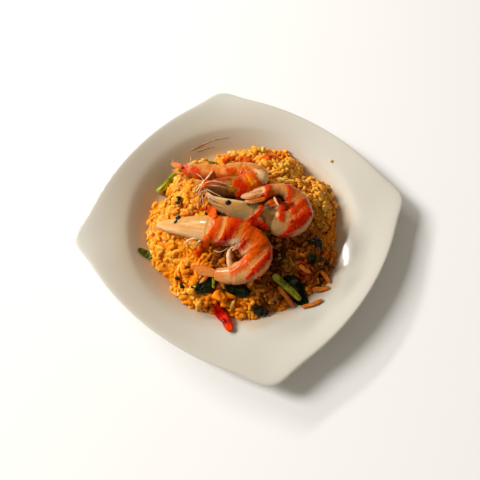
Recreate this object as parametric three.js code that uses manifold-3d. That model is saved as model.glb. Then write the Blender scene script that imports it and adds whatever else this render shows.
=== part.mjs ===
// Fried rice with three whole prawns, chilli, carrot and greens, on a square plate with pointed corners.
// Millimetres, +Z up. The plate's corners lie on the X and Y axes and its foot stands on z = 0.
// Prawns, leaves and shreds are laid on the mound first; the mound is then cut to seat them.

import * as THREE from 'three';
import { mergeVertices } from 'three/addons/utils/BufferGeometryUtils.js';
import Module from 'manifold-3d';

const wasm = await Module();
wasm.setup();

// Clearance kept between neighbouring pieces.
const seatGap = 0.35;

const plate = {
  sideRadius: 111.9, // centre to the middle of a bowed side
  cornerRadius: 130, // centre to where two sides would meet
  cornerFlare: 4.4, // how far a corner is drawn out past that
  cornerFlareWidth: 0.15, // share of an eighth of a turn that the flare takes
  cornerRound: 0.085, // blunts the corner, as a share of an eighth of a turn
  cornerDip: 2.1, // corners hang this much below the middle of a side
  cornerDipWidth: 0.45,
  rimHeight: 22,
  wellRadius: 92, // where the rim turns down into the well
  wellHeight: 17,
  floorRadius: 71,
  floorHeight: 5.5,
  footInner: 57,
  footOuter: 62,
  recess: 1.6, // height of the underside inside the foot
  segments: 56,
  crowding: 0.5, // how far the segments crowd towards the corners, from 0 to 1
};

const mound = {
  x: 1.5,
  y: -3,
  reach: 75.5, // mean radius at the foot
  height: 34, // above the plate's floor
  crown: 2.2, // larger is flatter on top
  shoulder: 0.75, // smaller is steeper at the foot
  detail: 15, // subdivisions of the surface net
  // Where the foot bulges out or draws in: bearing, reach and half width in degrees.
  lobes: [[15, 5, 16], [52, 5, 14], [-47, 6, 13], [-14, -6, 13], [32, -4, 9], [-152, -3, 7], [-141, 3, 8],
    [-168, 4, 16], [160, 4, 16], [-128, 5, 18], [-97, 3, 16], [104, -5, 12], [130, 3, 12], [150, -9, 6]],
  clumps: { span: 17, swell: 4 }, // broad clumps, and the rounded bumps of grains on them
  bumps: { span: 7.4, swell: 3.4 },
  frayed: { span: 7, swell: 3.2 }, // ragged foot
};

const grain = { length: 8.2, girth: 2.6, count: 20, seed: 11 };

// Colour, roughness and metalness of each kind of piece.
const finishes = {
  glaze: [0xe3ddce, 0.2, 0],
  rice: [0xe59c3c, 0.55, 0],
  prawn: [0xec8a52, 0.35, 0],
  chilli: [0xc4230f, 0.2, 0],
  carrot: [0xe0702a, 0.45, 0],
  stem: [0x8fae2c, 0.4, 0],
  leaf: [0x20361a, 0.45, 0],
  tomato: [0xd8401c, 0.35, 0],
};

// --- solids and meshes ------------------------------------------------------------------------

function toSolid(geometry) {
  const bare = geometry.clone();
  for (const name of Object.keys(bare.attributes)) {
    if (name !== 'position') bare.deleteAttribute(name);
  }
  const welded = mergeVertices(bare, 1e-4);
  const corners = welded.index.array;
  const kept = [];
  for (let i = 0; i < corners.length; i += 3) {
    const [a, b, c] = [corners[i], corners[i + 1], corners[i + 2]];
    if (a !== b && b !== c && c !== a) kept.push(a, b, c);
  }
  return new wasm.Manifold(new wasm.Mesh({
    numProp: 3,
    vertProperties: Float32Array.from(welded.attributes.position.array),
    triVerts: Uint32Array.from(kept),
  }));
}

function toGeometry(solid) {
  const mesh = solid.getMesh();
  const geometry = new THREE.BufferGeometry();
  geometry.setAttribute('position', new THREE.BufferAttribute(Float32Array.from(mesh.vertProperties), 3));
  geometry.setIndex(Array.from(mesh.triVerts));
  return geometry;
}

function fuse(solids) {
  return solids.reduce((whole, next) => whole.add(next));
}

// The largest loose part of a solid; scraps left by a cut are dropped.
function largestPart(solid) {
  const parts = solid.decompose();
  return parts.reduce((best, next) => (next.volume() > best.volume() ? next : best));
}

function cross(a, b) {
  return a.intersect(b).volume() > 1e-3;
}

// --- small mathematics ------------------------------------------------------------------------

function seededRandom(seed) {
  let state = seed >>> 0;
  return () => {
    state = (state + 0x6d2b79f5) >>> 0;
    let mixed = Math.imul(state ^ (state >>> 15), 1 | state);
    mixed = (mixed + Math.imul(mixed ^ (mixed >>> 7), 61 | mixed)) ^ mixed;
    return ((mixed ^ (mixed >>> 14)) >>> 0) / 4294967296;
  };
}

function hash(i, j) {
  const wave = Math.sin(i * 127.1 + j * 311.7) * 43758.5453;
  return wave - Math.floor(wave);
}

// Smooth noise between -0.5 and 0.5 on a unit lattice.
function latticeNoise(x, y) {
  const [i, j] = [Math.floor(x), Math.floor(y)];
  const [u, v] = [THREE.MathUtils.smoothstep(x - i, 0, 1), THREE.MathUtils.smoothstep(y - j, 0, 1)];
  const near = THREE.MathUtils.lerp(hash(i, j), hash(i + 1, j), u);
  const far = THREE.MathUtils.lerp(hash(i, j + 1), hash(i + 1, j + 1), u);
  return THREE.MathUtils.lerp(near, far, v) - 0.5;
}

// Rounded bumps, one to each jittered square of the lattice: 1 on its top, 0 in the gaps between.
function bumpNoise(x, y) {
  let nearest = 1;
  for (let i = Math.floor(x) - 1; i <= Math.floor(x) + 1; i += 1) {
    for (let j = Math.floor(y) - 1; j <= Math.floor(y) + 1; j += 1) {
      const middle = [i + 0.15 + 0.7 * hash(i, j), j + 0.15 + 0.7 * hash(j + 57, i)];
      nearest = Math.min(nearest, Math.hypot(x - middle[0], y - middle[1]));
    }
  }
  return 1 - nearest ** 2;
}

// Reads a value from [position, value] stations, with smooth steps between them.
function stationValue(stations, at) {
  const next = stations.findIndex(([position]) => position >= at);
  if (next === -1) return stations.at(-1)[1];
  if (next === 0) return stations[0][1];
  const [[fromAt, from], [toAt, to]] = [stations[next - 1], stations[next]];
  return THREE.MathUtils.lerp(from, to, (at - fromAt) / (toAt - fromAt));
}

// --- plate ------------------------------------------------------------------------------------

// 0 at a corner, 1 in the middle of a side.
function offCorner(angle) {
  const quarter = Math.PI / 2;
  const turned = ((angle % quarter) + quarter) % quarter;
  return Math.min(turned, quarter - turned) / (quarter / 2);
}

// Distance from the centre to the rim's edge: each side is one arc that bows outwards.
function plateReach(angle) {
  const off = offCorner(angle);
  const blunt = Math.hypot(off, plate.cornerRound) / Math.hypot(1, plate.cornerRound);
  const fromMiddle = (1 - blunt) * (Math.PI / 4);
  const corner = plate.cornerRadius * Math.SQRT1_2;
  const bow = (2 * corner ** 2 - plate.sideRadius ** 2) / (2 * (corner - plate.sideRadius));
  const arc = plate.sideRadius - bow;
  const along = bow * Math.cos(fromMiddle);
  const side = along + Math.sqrt(arc ** 2 - bow ** 2 + along ** 2);
  return side + plate.cornerFlare * Math.exp(-((off / plate.cornerFlareWidth) ** 2));
}

// Rim and well profile, from the middle of the underside round to the middle of the floor.
function plateProfile() {
  const { sideRadius: edge, rimHeight: rim, wellRadius: well, wellHeight: brink } = plate;
  const { floorRadius: floor, floorHeight, footInner, footOuter, recess } = plate;
  return [
    [0, recess], [footInner - 1, recess], [footInner, 0], [footOuter, 0], [footOuter + 1.5, 2.2],
    [floor + 6, 3.2], [well - 5, brink - 6.5], [well + 4, brink - 3],
    [edge - 2, rim - 3.6], [edge - 0.2, rim - 2.2], [edge - 0.4, rim - 0.6], [edge - 2, rim],
    [well + 8, brink + 2], [well + 1, brink], [well - 4, brink - 2.6],
    [floor + 9, floorHeight + 4], [floor + 4, floorHeight + 1], [floor, floorHeight], [0, floorHeight],
  ];
}

// Crowds the points of the round profile towards the corners, and moves the rim out to its square edge.
function squareRim(point) {
  const radius = Math.hypot(point.x, point.y);
  const even = Math.atan2(point.y, point.x);
  const angle = even - (plate.crowding / 4) * Math.sin(4 * even);
  point.x = radius * Math.cos(angle);
  point.y = radius * Math.sin(angle);
  if (radius <= plate.wellRadius) return;
  const share = (radius - plate.wellRadius) / (plate.sideRadius - plate.wellRadius);
  const reach = plate.wellRadius + share * (plateReach(angle) - plate.wellRadius);
  point.x *= reach / radius;
  point.y *= reach / radius;
  point.z -= share * plate.cornerDip * Math.exp(-((offCorner(angle) / plate.cornerDipWidth) ** 2));
}

// A profile of [radius, height] points turned about the upright axis.
function turned(profile, segments) {
  const geometry = new THREE.LatheGeometry(profile.map(([r, z]) => new THREE.Vector2(r, z)), segments);
  geometry.rotateX(Math.PI / 2);
  return geometry;
}

function plateGeometry() {
  const geometry = turned(plateProfile(), plate.segments);
  moveVertices(geometry, squareRim);
  return geometry;
}

// Height of the plate's upper surface inside the rim.
function plateTop(radius) {
  const { floorRadius: floor, floorHeight, wellRadius: well, wellHeight: brink } = plate;
  return stationValue([[floor, floorHeight], [floor + 4, floorHeight + 1], [floor + 9, floorHeight + 4],
    [well - 4, brink - 2.6], [well + 1, brink]], radius);
}

// Everything below the plate's well and floor, with the clearance on top.
function belowPlate() {
  const { floorRadius: floor, floorHeight, wellRadius: well, wellHeight: brink } = plate;
  const outline = [[0, -5], [well + 9, -5], [well + 9, brink + 3], [well + 1, brink + seatGap],
    [floor + 9, floorHeight + 4.4], [floor, floorHeight + seatGap], [0, floorHeight + seatGap]];
  return turned(outline, plate.segments / 2);
}

function moveVertices(geometry, move) {
  const position = geometry.attributes.position;
  const point = new THREE.Vector3();
  for (let i = 0; i < position.count; i += 1) {
    point.fromBufferAttribute(position, i);
    move(point);
    position.setXYZ(i, point.x, point.y, point.z);
  }
}

// --- mound of rice ----------------------------------------------------------------------------

function moundReach(angle) {
  return mound.lobes.reduce((reach, [bearing, swell, width]) => {
    const apart = THREE.MathUtils.euclideanModulo(THREE.MathUtils.radToDeg(angle) - bearing + 180, 360) - 180;
    return reach + swell * Math.exp(-((apart / width) ** 2));
  }, mound.reach);
}

function moundFoot(angle) {
  const { span, swell } = mound.frayed;
  const round = mound.reach / span;
  return moundReach(angle) + swell * latticeNoise(round * Math.cos(angle), round * Math.sin(angle));
}

function moundHeight(x, y) {
  const [dx, dy] = [x - mound.x, y - mound.y];
  const outward = Math.min(1, Math.hypot(dx, dy) / moundFoot(Math.atan2(dy, dx)));
  const smooth = plate.floorHeight + mound.height * (1 - outward ** mound.crown) ** mound.shoulder;
  const { clumps, bumps } = mound;
  const relief = clumps.swell * latticeNoise(x / clumps.span, y / clumps.span)
    + bumps.swell * (bumpNoise(x / bumps.span, y / bumps.span) - 0.6);
  return smooth + relief * (1 - outward ** 8);
}

// The upper surface that a topping lies on at a place: rice, or bare plate beyond it.
function ground(x, y) {
  const onPlate = plateTop(Math.hypot(x, y));
  const outward = Math.hypot(x - mound.x, y - mound.y) / moundFoot(Math.atan2(y - mound.y, x - mound.x));
  return outward < 1 ? Math.max(moundHeight(x, y), onPlate) : onPlate;
}

// A ball's upper half is spread over the mound with even triangles; its lower half stays below the plate.
function moundGeometry() {
  const geometry = new THREE.IcosahedronGeometry(1, mound.detail);
  moveVertices(geometry, (point) => {
    const angle = Math.atan2(point.y, point.x);
    const outward = Math.sqrt(1 - Math.min(1, Math.abs(point.z)));
    const above = point.z > -1e-6;
    const reach = outward * moundFoot(angle);
    point.x = mound.x + reach * Math.cos(angle);
    point.y = mound.y + reach * Math.sin(angle);
    point.z = above ? moundHeight(point.x, point.y) : plate.floorHeight - 4;
  });
  return geometry;
}

function grainSolid(length, girth, place, turn) {
  const geometry = new THREE.SphereGeometry(0.5, 5, 4);
  geometry.scale(girth, length, girth * 0.9);
  geometry.applyQuaternion(turn);
  geometry.translate(place.x, place.y, place.z);
  return toSolid(geometry);
}

// Long grains spread evenly over the mound by a sunflower spiral, lying close to its surface.
function looseGrains(keepClear) {
  const random = seededRandom(grain.seed);
  const golden = Math.PI * (3 - Math.sqrt(5));
  const grains = [];
  for (let i = 0; i < grain.count; i += 1) {
    const angle = i * golden + random() * 0.3;
    const outward = Math.sqrt((i + 0.5) / grain.count) * 0.97;
    const reach = outward * moundFoot(angle);
    const place = new THREE.Vector3(mound.x + reach * Math.cos(angle), mound.y + reach * Math.sin(angle), 0);
    place.z = moundHeight(place.x, place.y) + 0.35;
    const heading = random() * Math.PI * 2;
    const step = new THREE.Vector3(Math.cos(heading), Math.sin(heading), 0).multiplyScalar(2);
    const ahead = moundHeight(place.x + step.x, place.y + step.y);
    const behind = moundHeight(place.x - step.x, place.y - step.y);
    const along = new THREE.Vector3(step.x * 2, step.y * 2, (ahead - behind) * 0.8).normalize();
    const turn = new THREE.Quaternion().setFromUnitVectors(new THREE.Vector3(0, 1, 0), along);
    const length = grain.length * (0.8 + 0.3 * random());
    const solid = grainSolid(length, grain.girth * (0.9 + 0.2 * random()), place, turn);
    if (!keepClear.some((other) => cross(solid, other))) grains.push(solid);
  }
  return grains;
}

// --- rods, blades and sheets ------------------------------------------------------------------

function curveThrough(points) {
  return new THREE.CatmullRomCurve3(points.map((point) => new THREE.Vector3(...point)), false, 'centripetal');
}

// A closed ball drawn out along a curve. section gives half the width across the curve, in the plane
// level with the table, and half its thickness, at each station from 0 to 1.
function bentRod(curve, { rings, sides, section, grow = 0 }) {
  const up = new THREE.Vector3(0, 0, 1);
  const geometry = new THREE.SphereGeometry(1, sides, rings.length - 1);
  moveVertices(geometry, (point) => {
    const fromTop = Math.acos(THREE.MathUtils.clamp(point.y, -1, 1));
    const ring = Math.round((fromTop / Math.PI) * (rings.length - 1));
    const at = rings[ring];
    const { half, thick } = section(at, ring);
    const along = curve.getTangentAt(at);
    const across = new THREE.Vector3().crossVectors(up, along).normalize();
    const lift = new THREE.Vector3().crossVectors(along, across);
    const turn = Math.atan2(point.z, point.x);
    const end = (ring === rings.length - 1) - (ring === 0);
    point.copy(curve.getPointAt(at)).addScaledVector(along, end * grow);
    if (end) return;
    point.addScaledVector(across, (half + grow) * Math.cos(turn));
    point.addScaledVector(lift, (thick + grow) * Math.sin(turn));
  });
  return geometry;
}

function evenRings(count) {
  return Array.from({ length: count + 1 }, (_, i) => i / count);
}

// A tapering rod with an oval section, blunt at both ends.
function taperRod(points, half, { thick = half, taper = 0.4, rings = 6, sides = 6, grow = 0 } = {}) {
  return bentRod(curveThrough(points), {
    rings: evenRings(rings),
    sides,
    grow,
    section: (at) => {
      const blunt = Math.sqrt(Math.max(0, 1 - (2 * at - 1) ** 6));
      const slim = THREE.MathUtils.lerp(1, taper, at) * Math.max(blunt, 0.35);
      return { half: half * slim, thick: thick * slim };
    },
  });
}

// Gives a net of triangles a thickness: both faces are split alike and joined round the edge.
function thicken(net, offset) {
  const corners = Array.from(net.index.array);
  const count = net.attributes.position.count;
  const positions = [];
  for (const side of [1, -1]) {
    for (let i = 0; i < count; i += 1) {
      const point = new THREE.Vector3().fromBufferAttribute(net.attributes.position, i);
      point.addScaledVector(offset, side);
      positions.push(point.x, point.y, point.z);
    }
  }
  const edges = new Map();
  const faces = [];
  for (let i = 0; i < corners.length; i += 3) {
    const [a, b, c] = corners.slice(i, i + 3);
    faces.push(a, b, c, c + count, b + count, a + count);
    for (const [from, to] of [[a, b], [b, c], [c, a]]) {
      if (edges.has(`${to},${from}`)) edges.delete(`${to},${from}`);
      else edges.set(`${from},${to}`, [from, to]);
    }
  }
  for (const [from, to] of edges.values()) {
    faces.push(to, from, from + count, from + count, to + count, to);
  }
  const solid = new THREE.BufferGeometry();
  solid.setAttribute('position', new THREE.Float32BufferAttribute(positions, 3));
  solid.setIndex(faces);
  return solid;
}

// A thin wavy leaf that follows the ground under it, from its stalk end to its tip.
function leafGeometry({ from, to, width, lift = 1.2, wave = 1, curl = 0, along = 6, across = 3 }, grow = 0) {
  const net = new THREE.PlaneGeometry(1, 1, along, across);
  const start = new THREE.Vector2(...from);
  const run = new THREE.Vector2(...to).sub(start);
  const side = new THREE.Vector2(-run.y, run.x).normalize();
  moveVertices(net, (point) => {
    const at = (point.x + 0.5) * (1 + (2 * grow) / run.length()) - grow / run.length();
    const belly = Math.sin(Math.PI * THREE.MathUtils.clamp(at, 0, 1)) ** 0.6;
    const half = (width / 2) * (0.25 + 0.75 * belly) + grow;
    const off = point.y * 2 * half;
    const x = start.x + run.x * at + side.x * (off + curl * Math.sin(Math.PI * at));
    const y = start.y + run.y * at + side.y * (off + curl * Math.sin(Math.PI * at));
    const ripple = wave * Math.sin(at * 9 + point.y * 4);
    point.set(x, y, ground(x, y) + lift + ripple);
  });
  return thicken(net, new THREE.Vector3(0, 0, 0.4 + grow));
}

// A cut strip with square edges, bent through points that give its height above the ground.
function shredGeometry({ points, width, thick, roll = 0 }, grow = 0) {
  const curve = curveThrough(points.map(([x, y, lift]) => [x, y, ground(x, y) + lift]));
  const geometry = new THREE.BoxGeometry(1, width + 2 * grow, thick + 2 * grow, 6, 1, 1);
  moveVertices(geometry, (point) => {
    const at = THREE.MathUtils.clamp(point.x + 0.5, 0, 1);
    const along = curve.getTangentAt(at);
    const across = new THREE.Vector3().crossVectors(new THREE.Vector3(0, 0, 1), along).normalize();
    const lift = new THREE.Vector3().crossVectors(along, across);
    const overrun = (at === 0 ? -grow : 0) + (at === 1 ? grow : 0);
    const slim = 1 - 0.35 * Math.abs(2 * at - 1) ** 3;
    const twist = roll * (at - 0.5);
    const [y, z] = [point.y * slim, point.z * slim];
    point.copy(curve.getPointAt(at)).addScaledVector(along, overrun);
    point.addScaledVector(across, y * Math.cos(twist) - z * Math.sin(twist));
    point.addScaledVector(lift, y * Math.sin(twist) + z * Math.cos(twist));
  });
  return geometry;
}

// --- prawns -----------------------------------------------------------------------------------

// Each spine runs from the tip of the head spike to the root of the tail, and depth gives half the
// body's depth from back to belly at stations along it. A blade ends at its tip.
const prawns = {
  prawn_front: {
    spine: [[-66, -1.5, 27], [-58, -5.8, 31], [-47.5, -10.2, 35.5], [-37, -14.4, 39], [-28, -18.4, 41.5],
      [-19, -22, 43], [-10, -25.2, 43.5], [-3, -30.5, 43.5], [2, -37, 42.5], [3.5, -43.7, 41],
      [0.5, -49.5, 39.5], [-6, -52.8, 37.5], [-14, -54.2, 36], [-21, -53.2, 34.5], [-27.5, -50.5, 33]],
    depth: [[0, 0.6], [0.08, 3], [0.18, 6.2], [0.27, 8.2], [0.36, 9.8], [0.44, 10.6], [0.51, 10.5],
      [0.58, 10.9], [0.65, 11.1], [0.71, 10.9], [0.76, 9.7], [0.82, 8.5], [0.88, 7.4], [0.94, 5.9],
      [1, 4.3]],
    headShare: 0.36,
    blades: [{ tip: [-45, -39.5, 28.5], width: 6 }, { tip: [-41, -45, 29.5], width: 5.5 },
      { from: [-30.5, -48.5, 32], tip: [-40, -53, 26], width: 3 },
      { from: [-24.5, -55, 31], tip: [-23, -60.5, 27], width: 2.4 }],
    legs: [[[-33, -21.5, 36], [-41, -21, 35], [-46, -24, 32], [-43.5, -28, 29]],
      [[-31, -22, 36], [-38.5, -25, 36], [-43, -27, 32], [-37, -31, 31]],
      [[-15, -29, 41], [-15.5, -37.5, 40], [-15.5, -43.5, 38], [-17, -48, 35]],
      [[-14, -30, 39], [-18, -33, 39], [-21, -35.5, 37.5], [-26, -34, 36]]],
    eyes: [[-49.5, -4.8, 36.5]],
  },
  prawn_middle: {
    spine: [[-27, 14, 44], [-23.3, 5, 45.5], [-17.8, -1.2, 46.5], [-9, -7.1, 47], [0.6, -11.5, 47],
      [9, -15.9, 46.5], [16.8, -20.2, 45.5], [25, -23.8, 44], [33.6, -22.8, 42.5], [39.9, -16.4, 41.5],
      [40.9, -7.9, 41.5], [37.2, -0.8, 43], [31, 3.1, 45], [22.6, 3.7, 47], [15, 1.3, 48.5]],
    depth: [[0, 0.6], [0.08, 2.5], [0.14, 4.7], [0.23, 6.8], [0.31, 7.4], [0.39, 8.1], [0.46, 8.7],
      [0.53, 9.4], [0.6, 9.9], [0.67, 9.5], [0.74, 8.1], [0.81, 6.6], [0.87, 5.5], [0.94, 4.9], [1, 4.6]],
    headShare: 0.36,
    blades: [{ tip: [-3, -3, 47.5], width: 6.5 }, { tip: [-1, 1.5, 49], width: 6.5 },
      { tip: [3.5, 6, 49.5], width: 6 }],
    legs: [[[-20, 0, 45], [-24, 6, 45], [-28, 13.5, 44]], [[-22, 2, 44], [-27, 5.5, 43], [-31, 10, 41]],
      [[25, -10.5, 45], [24, -7, 46.5], [23, -1.5, 46]]],
    eyes: [[-11.5, -4.3, 51.2], [-15.2, -9.5, 45]],
  },
  prawn_back: {
    spine: [[-28, 20, 40], [-20, 16, 43], [-11, 13, 45], [-1.5, 11.5, 45.5], [6, 14.5, 45.5],
      [7.5, 20.5, 44], [-1.5, 26, 42], [-12, 30, 39.5], [-25, 35.5, 36], [-40, 43.5, 31]],
    depth: [[0, 2.5], [0.08, 6], [0.18, 8.2], [0.3, 8.4], [0.45, 8.8], [0.58, 8.2], [0.7, 6.4],
      [0.85, 6], [0.95, 5.6], [1, 3.6]],
    headShare: 0.33,
    blades: [{ tip: [-52, 51, 26], width: 4 }, { tip: [-53, 44, 25.5], width: 3.2 },
      { tip: [-47, 55, 26.5], width: 2.6 }],
    legs: [[[-19.5, 29, 42], [-27.5, 21, 43], [-34.5, 13.5, 40]],
      [[-20.5, 23.5, 44], [-24, 19, 44.5], [-27, 14, 42]],
      [[-27.5, 24, 41.5], [-33.5, 25.5, 40.5], [-36, 22, 38]]],
    eyes: [],
  },
};

const shell = { plates: 6, overlap: 0.075, flatness: 0.76 };

// Ring stations: a smooth head shell, then four rings for each plate of the tail, which flares to its
// hind edge and steps in where the next plate starts under it.
function shellRings(headShare) {
  const rings = [0, 0.25, 0.5, 0.75, 0.97].map((share) => ({ at: share * headShare, flare: 0 }));
  rings.push({ at: headShare, flare: 0.6 });
  const span = (1 - headShare) / shell.plates;
  for (let i = 0; i < shell.plates; i += 1) {
    for (const [share, flare] of [[0.08, -1], [0.5, 0], [0.98, 1]]) {
      rings.push({ at: headShare + span * (i + share), flare });
    }
  }
  rings.push({ at: 1, flare: 0 });
  return rings;
}

function prawnBody(prawn, grow) {
  const rings = shellRings(prawn.headShare);
  return bentRod(curveThrough(prawn.spine), {
    rings: rings.map(({ at }) => at),
    sides: 12,
    grow,
    section: (at, ring) => {
      const half = stationValue(prawn.depth, at) * (1 + shell.overlap * rings[ring].flare);
      return { half, thick: half * shell.flatness };
    },
  });
}

// Tail blades fan out from the end of the spine, unless they have a root of their own.
function tailBlade(curve, { tip, width, from }, grow) {
  const root = from ? new THREE.Vector3(...from) : curve.getPointAt(0.97);
  const middle = root.clone().lerp(new THREE.Vector3(...tip), 0.5);
  return bentRod(curveThrough([root.toArray(), middle.toArray(), tip]), {
    rings: evenRings(5),
    sides: 6,
    grow,
    section: (at) => ({
      half: (width / 2) * (0.55 + 0.45 * Math.sin(Math.PI * at)),
      thick: THREE.MathUtils.lerp(1.5, 0.8, at),
    }),
  });
}

function eyeBall([x, y, z], grow) {
  const geometry = new THREE.SphereGeometry(2.2 + grow, 6, 5);
  geometry.translate(x, y, z);
  return geometry;
}

function prawnSolid(prawn, grow = 0) {
  const curve = curveThrough(prawn.spine);
  const pieces = [
    prawnBody(prawn, grow),
    ...prawn.blades.map((blade) => tailBlade(curve, blade, grow)),
    ...prawn.legs.map((leg) => taperRod(leg, 1.3, { taper: 0.6, rings: 5, sides: 4, grow })),
    ...prawn.eyes.map((eye) => eyeBall(eye, grow)),
  ];
  return fuse(pieces.map(toSolid));
}

// --- toppings ---------------------------------------------------------------------------------

const leaves = {
  stem_leaf: { from: [23, -57], to: [36, -76], width: 12, wave: 1.2, lift: 1, curl: 1 },
  leaf_front_left: { from: [-27, -52], to: [-43, -56], width: 12, wave: 1.1, lift: 1.1 },
  leaf_front_middle: { from: [-24, -56], to: [-5, -66], width: 9, wave: 1.2, lift: 1.1 },
  leaf_front_edge: { from: [-4, -76], to: [7, -77.5], width: 6, wave: 0.6, lift: 1.2, along: 4, across: 2 },
  leaf_left_edge: { from: [-73, -20], to: [-84, -13], width: 6.5, wave: 0.6, lift: 1.2, along: 4, across: 2 },
  leaf_right_upper: { from: [50, -28], to: [54, -38], width: 6, wave: 0.5, lift: 1, along: 4, across: 2 },
  leaf_right_lower: { from: [44, -42], to: [45.5, -51], width: 5, wave: 0.5, lift: 1, along: 4, across: 2 },
  leaf_right_edge: { from: [57, -46], to: [63, -50], width: 3.6, wave: 0.4, lift: 1, along: 3, across: 2 },
  leaf_back_stem: { from: [-52, 49], to: [-44, 55], width: 7, wave: 0.6, lift: 1.2, along: 4 },
  green_bit_back: { from: [-28, 66], to: [-23, 67.5], width: 5, wave: 0.4, lift: 1.2, along: 3, across: 2 },
  green_bit_left: { from: [-21, 56.5], to: [-14, 53.5], width: 5, wave: 0.4, lift: 1, along: 3, across: 2 },
  green_bit_right: { from: [-7, 44], to: [-1.5, 42.5], width: 4, wave: 0.3, lift: 1, along: 3, across: 2 },
};

const stems = {
  green_stem: { points: [[13, -55.5, 1.6], [18, -60.5, 2.6], [25, -66, 3.2], [32, -72.5, 3.4]], half: 2.7 },
  green_stem_back: { points: [[-66, 39, 1.5], [-60, 43, 3.2], [-53.5, 47, 3.2], [-47.5, 51, 2]], half: 3.2 },
  leaf_rib: { points: [[-29, -48, 2.4], [-29.5, -53.5, 2.9], [-30.5, -58, 2.2]], half: 1.3 },
};

const shreds = {
  carrot_shred_left: { points: [[16, -63, 1.6], [21, -70, 1.8], [26, -76, 1.8]], width: 3.2, thick: 1.5 },
  carrot_shred_plate: { points: [[31, -78, 2.2], [40, -77.5, 2.6], [47.5, -75.5, 2]], width: 2.8, thick: 1.5 },
  carrot_shred_upper: { points: [[50, -53.5, 1.2], [54, -57.5, 2], [56.5, -62.5, 1.6]], width: 3, thick: 1.4 },
  carrot_shred_right: { points: [[42, -65, 1.5], [50, -66.5, 2.4], [55, -66, 2]], width: 3.4, thick: 1.5 },
  carrot_bit: { points: [[34, -50, 1], [38, -53.5, 1.6], [42, -55.5, 1]], width: 3.4, thick: 1.8 },
};

// Soft cut pieces: oval lumps, uneven along their length.
const chunks = {
  chilli_strip: { finish: 'chilli', half: 4.1, thick: 2.2,
    points: [[-31, -67.5, 1.8], [-28, -73, 2.8], [-24.5, -80, 3.4], [-22.5, -89.5, 3.2]] },
  carrot_chunk: { finish: 'carrot', half: 4.2, thick: 2.6,
    points: [[-30, -60, 1.2], [-26, -64.5, 2], [-22, -67, 1.2]] },
  tomato_left: { finish: 'tomato', half: 3.2, thick: 2.2,
    points: [[-9, 48, 0.8], [-4, 51, 1.6], [1, 51, 0.8]] },
  tomato_middle: { finish: 'tomato', half: 3.6, thick: 2.2,
    points: [[3, 47, 0.8], [9, 46, 1.5], [14, 43, 0.8]] },
  tomato_right: { finish: 'tomato', half: 3.8, thick: 2.6,
    points: [[25, 43, 0.8], [30, 46, 1.8], [34, 43, 0.8]] },
};

// Small dark flakes that are part of the rice's surface: place and length.
const flakes = [[-55, 20, 5.5], [-48, 14, 6.5], [-56, -44, 4], [-52.5, -50, 5.5], [-44.5, -54.5, 6.5],
  [51, -47, 6], [20, -43, 5], [46, -35, 5]];

function onGround(points) {
  return points.map(([x, y, lift]) => [x, y, ground(x, y) + lift]);
}

function flakeSolids(keepClear) {
  return flakes.map(([x, y, length], i) => {
    const turn = new THREE.Quaternion().setFromAxisAngle(new THREE.Vector3(0, 0, 1), i * 1.3);
    return grainSolid(length, 3, new THREE.Vector3(x, y, ground(x, y) + 0.5), turn);
  }).filter((solid) => !keepClear.some((other) => cross(solid, other)));
}

// Every topping as [name, finish, maker], the maker taking how far to grow the piece.
function toppings() {
  return [
    ...Object.entries(leaves).map(([name, leaf]) => [name, 'leaf', (grow) => leafGeometry(leaf, grow)]),
    ...Object.entries(stems).map(([name, stem]) => [name, 'stem',
      (grow) => taperRod(onGround(stem.points), stem.half, { taper: 0.75, sides: 7, grow })]),
    ...Object.entries(shreds).map(([name, shred]) => [name, 'carrot', (grow) => shredGeometry(shred, grow)]),
    ...Object.entries(chunks).map(([name, chunk]) => [name, chunk.finish,
      (grow) => taperRod(onGround(chunk.points), chunk.half,
        { thick: chunk.thick, taper: 0.8, sides: 7, grow })]),
  ];
}

// --- assembly ---------------------------------------------------------------------------------

// Pieces are laid in order of how far on top they lie: each keeps its form where it meets the ones
// before it, and the ones after are cut back from it by the clearance.
function layPieces() {
  const laid = [];
  const lay = (name, finish, make) => {
    let solid = make(0);
    for (const { keepOut } of laid) {
      if (cross(solid, keepOut)) solid = solid.subtract(keepOut);
    }
    const piece = largestPart(solid);
    laid.push({ name, finish, solid: piece, keepOut: make(seatGap).add(piece) });
  };
  for (const name of ['prawn_middle', 'prawn_front', 'prawn_back']) {
    lay(name, 'prawn', (grow) => prawnSolid(prawns[name], grow));
  }
  for (const [name, finish, make] of toppings().reverse()) {
    lay(name, finish, (grow) => toSolid(make(grow)));
  }
  return laid;
}

function riceSolid(laid) {
  const plateBelow = toSolid(belowPlate());
  const keepOuts = laid.map(({ keepOut }) => keepOut);
  let core = toSolid(moundGeometry()).subtract(plateBelow);
  for (const keepOut of keepOuts) core = core.subtract(keepOut);
  const keepClear = [...keepOuts, plateBelow];
  return largestPart(fuse([core, ...looseGrains(keepClear), ...flakeSolids(keepClear)]));
}

function mesh(name, geometry, finish) {
  const [color, roughness, metalness] = finishes[finish];
  const piece = new THREE.Mesh(geometry, new THREE.MeshStandardMaterial({ color, roughness, metalness }));
  piece.name = name;
  return piece;
}

const dish = new THREE.Group();
const laid = layPieces();
const wholePlate = toSolid(plateGeometry());
dish.add(mesh('plate', toGeometry(wholePlate), 'glaze'));
dish.add(mesh('rice_heap', toGeometry(riceSolid(laid)), 'rice'));
for (const { name, finish, solid } of laid) {
  const clear = cross(solid, toSolid(belowPlate())) ? solid.subtract(toSolid(belowPlate())) : solid;
  dish.add(mesh(name, toGeometry(largestPart(clear)), finish));
}

export default dish;
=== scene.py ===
import math

import bpy
import numpy as np
from mathutils import Matrix, Vector, noise
from mathutils.bvhtree import BVHTree


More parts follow.
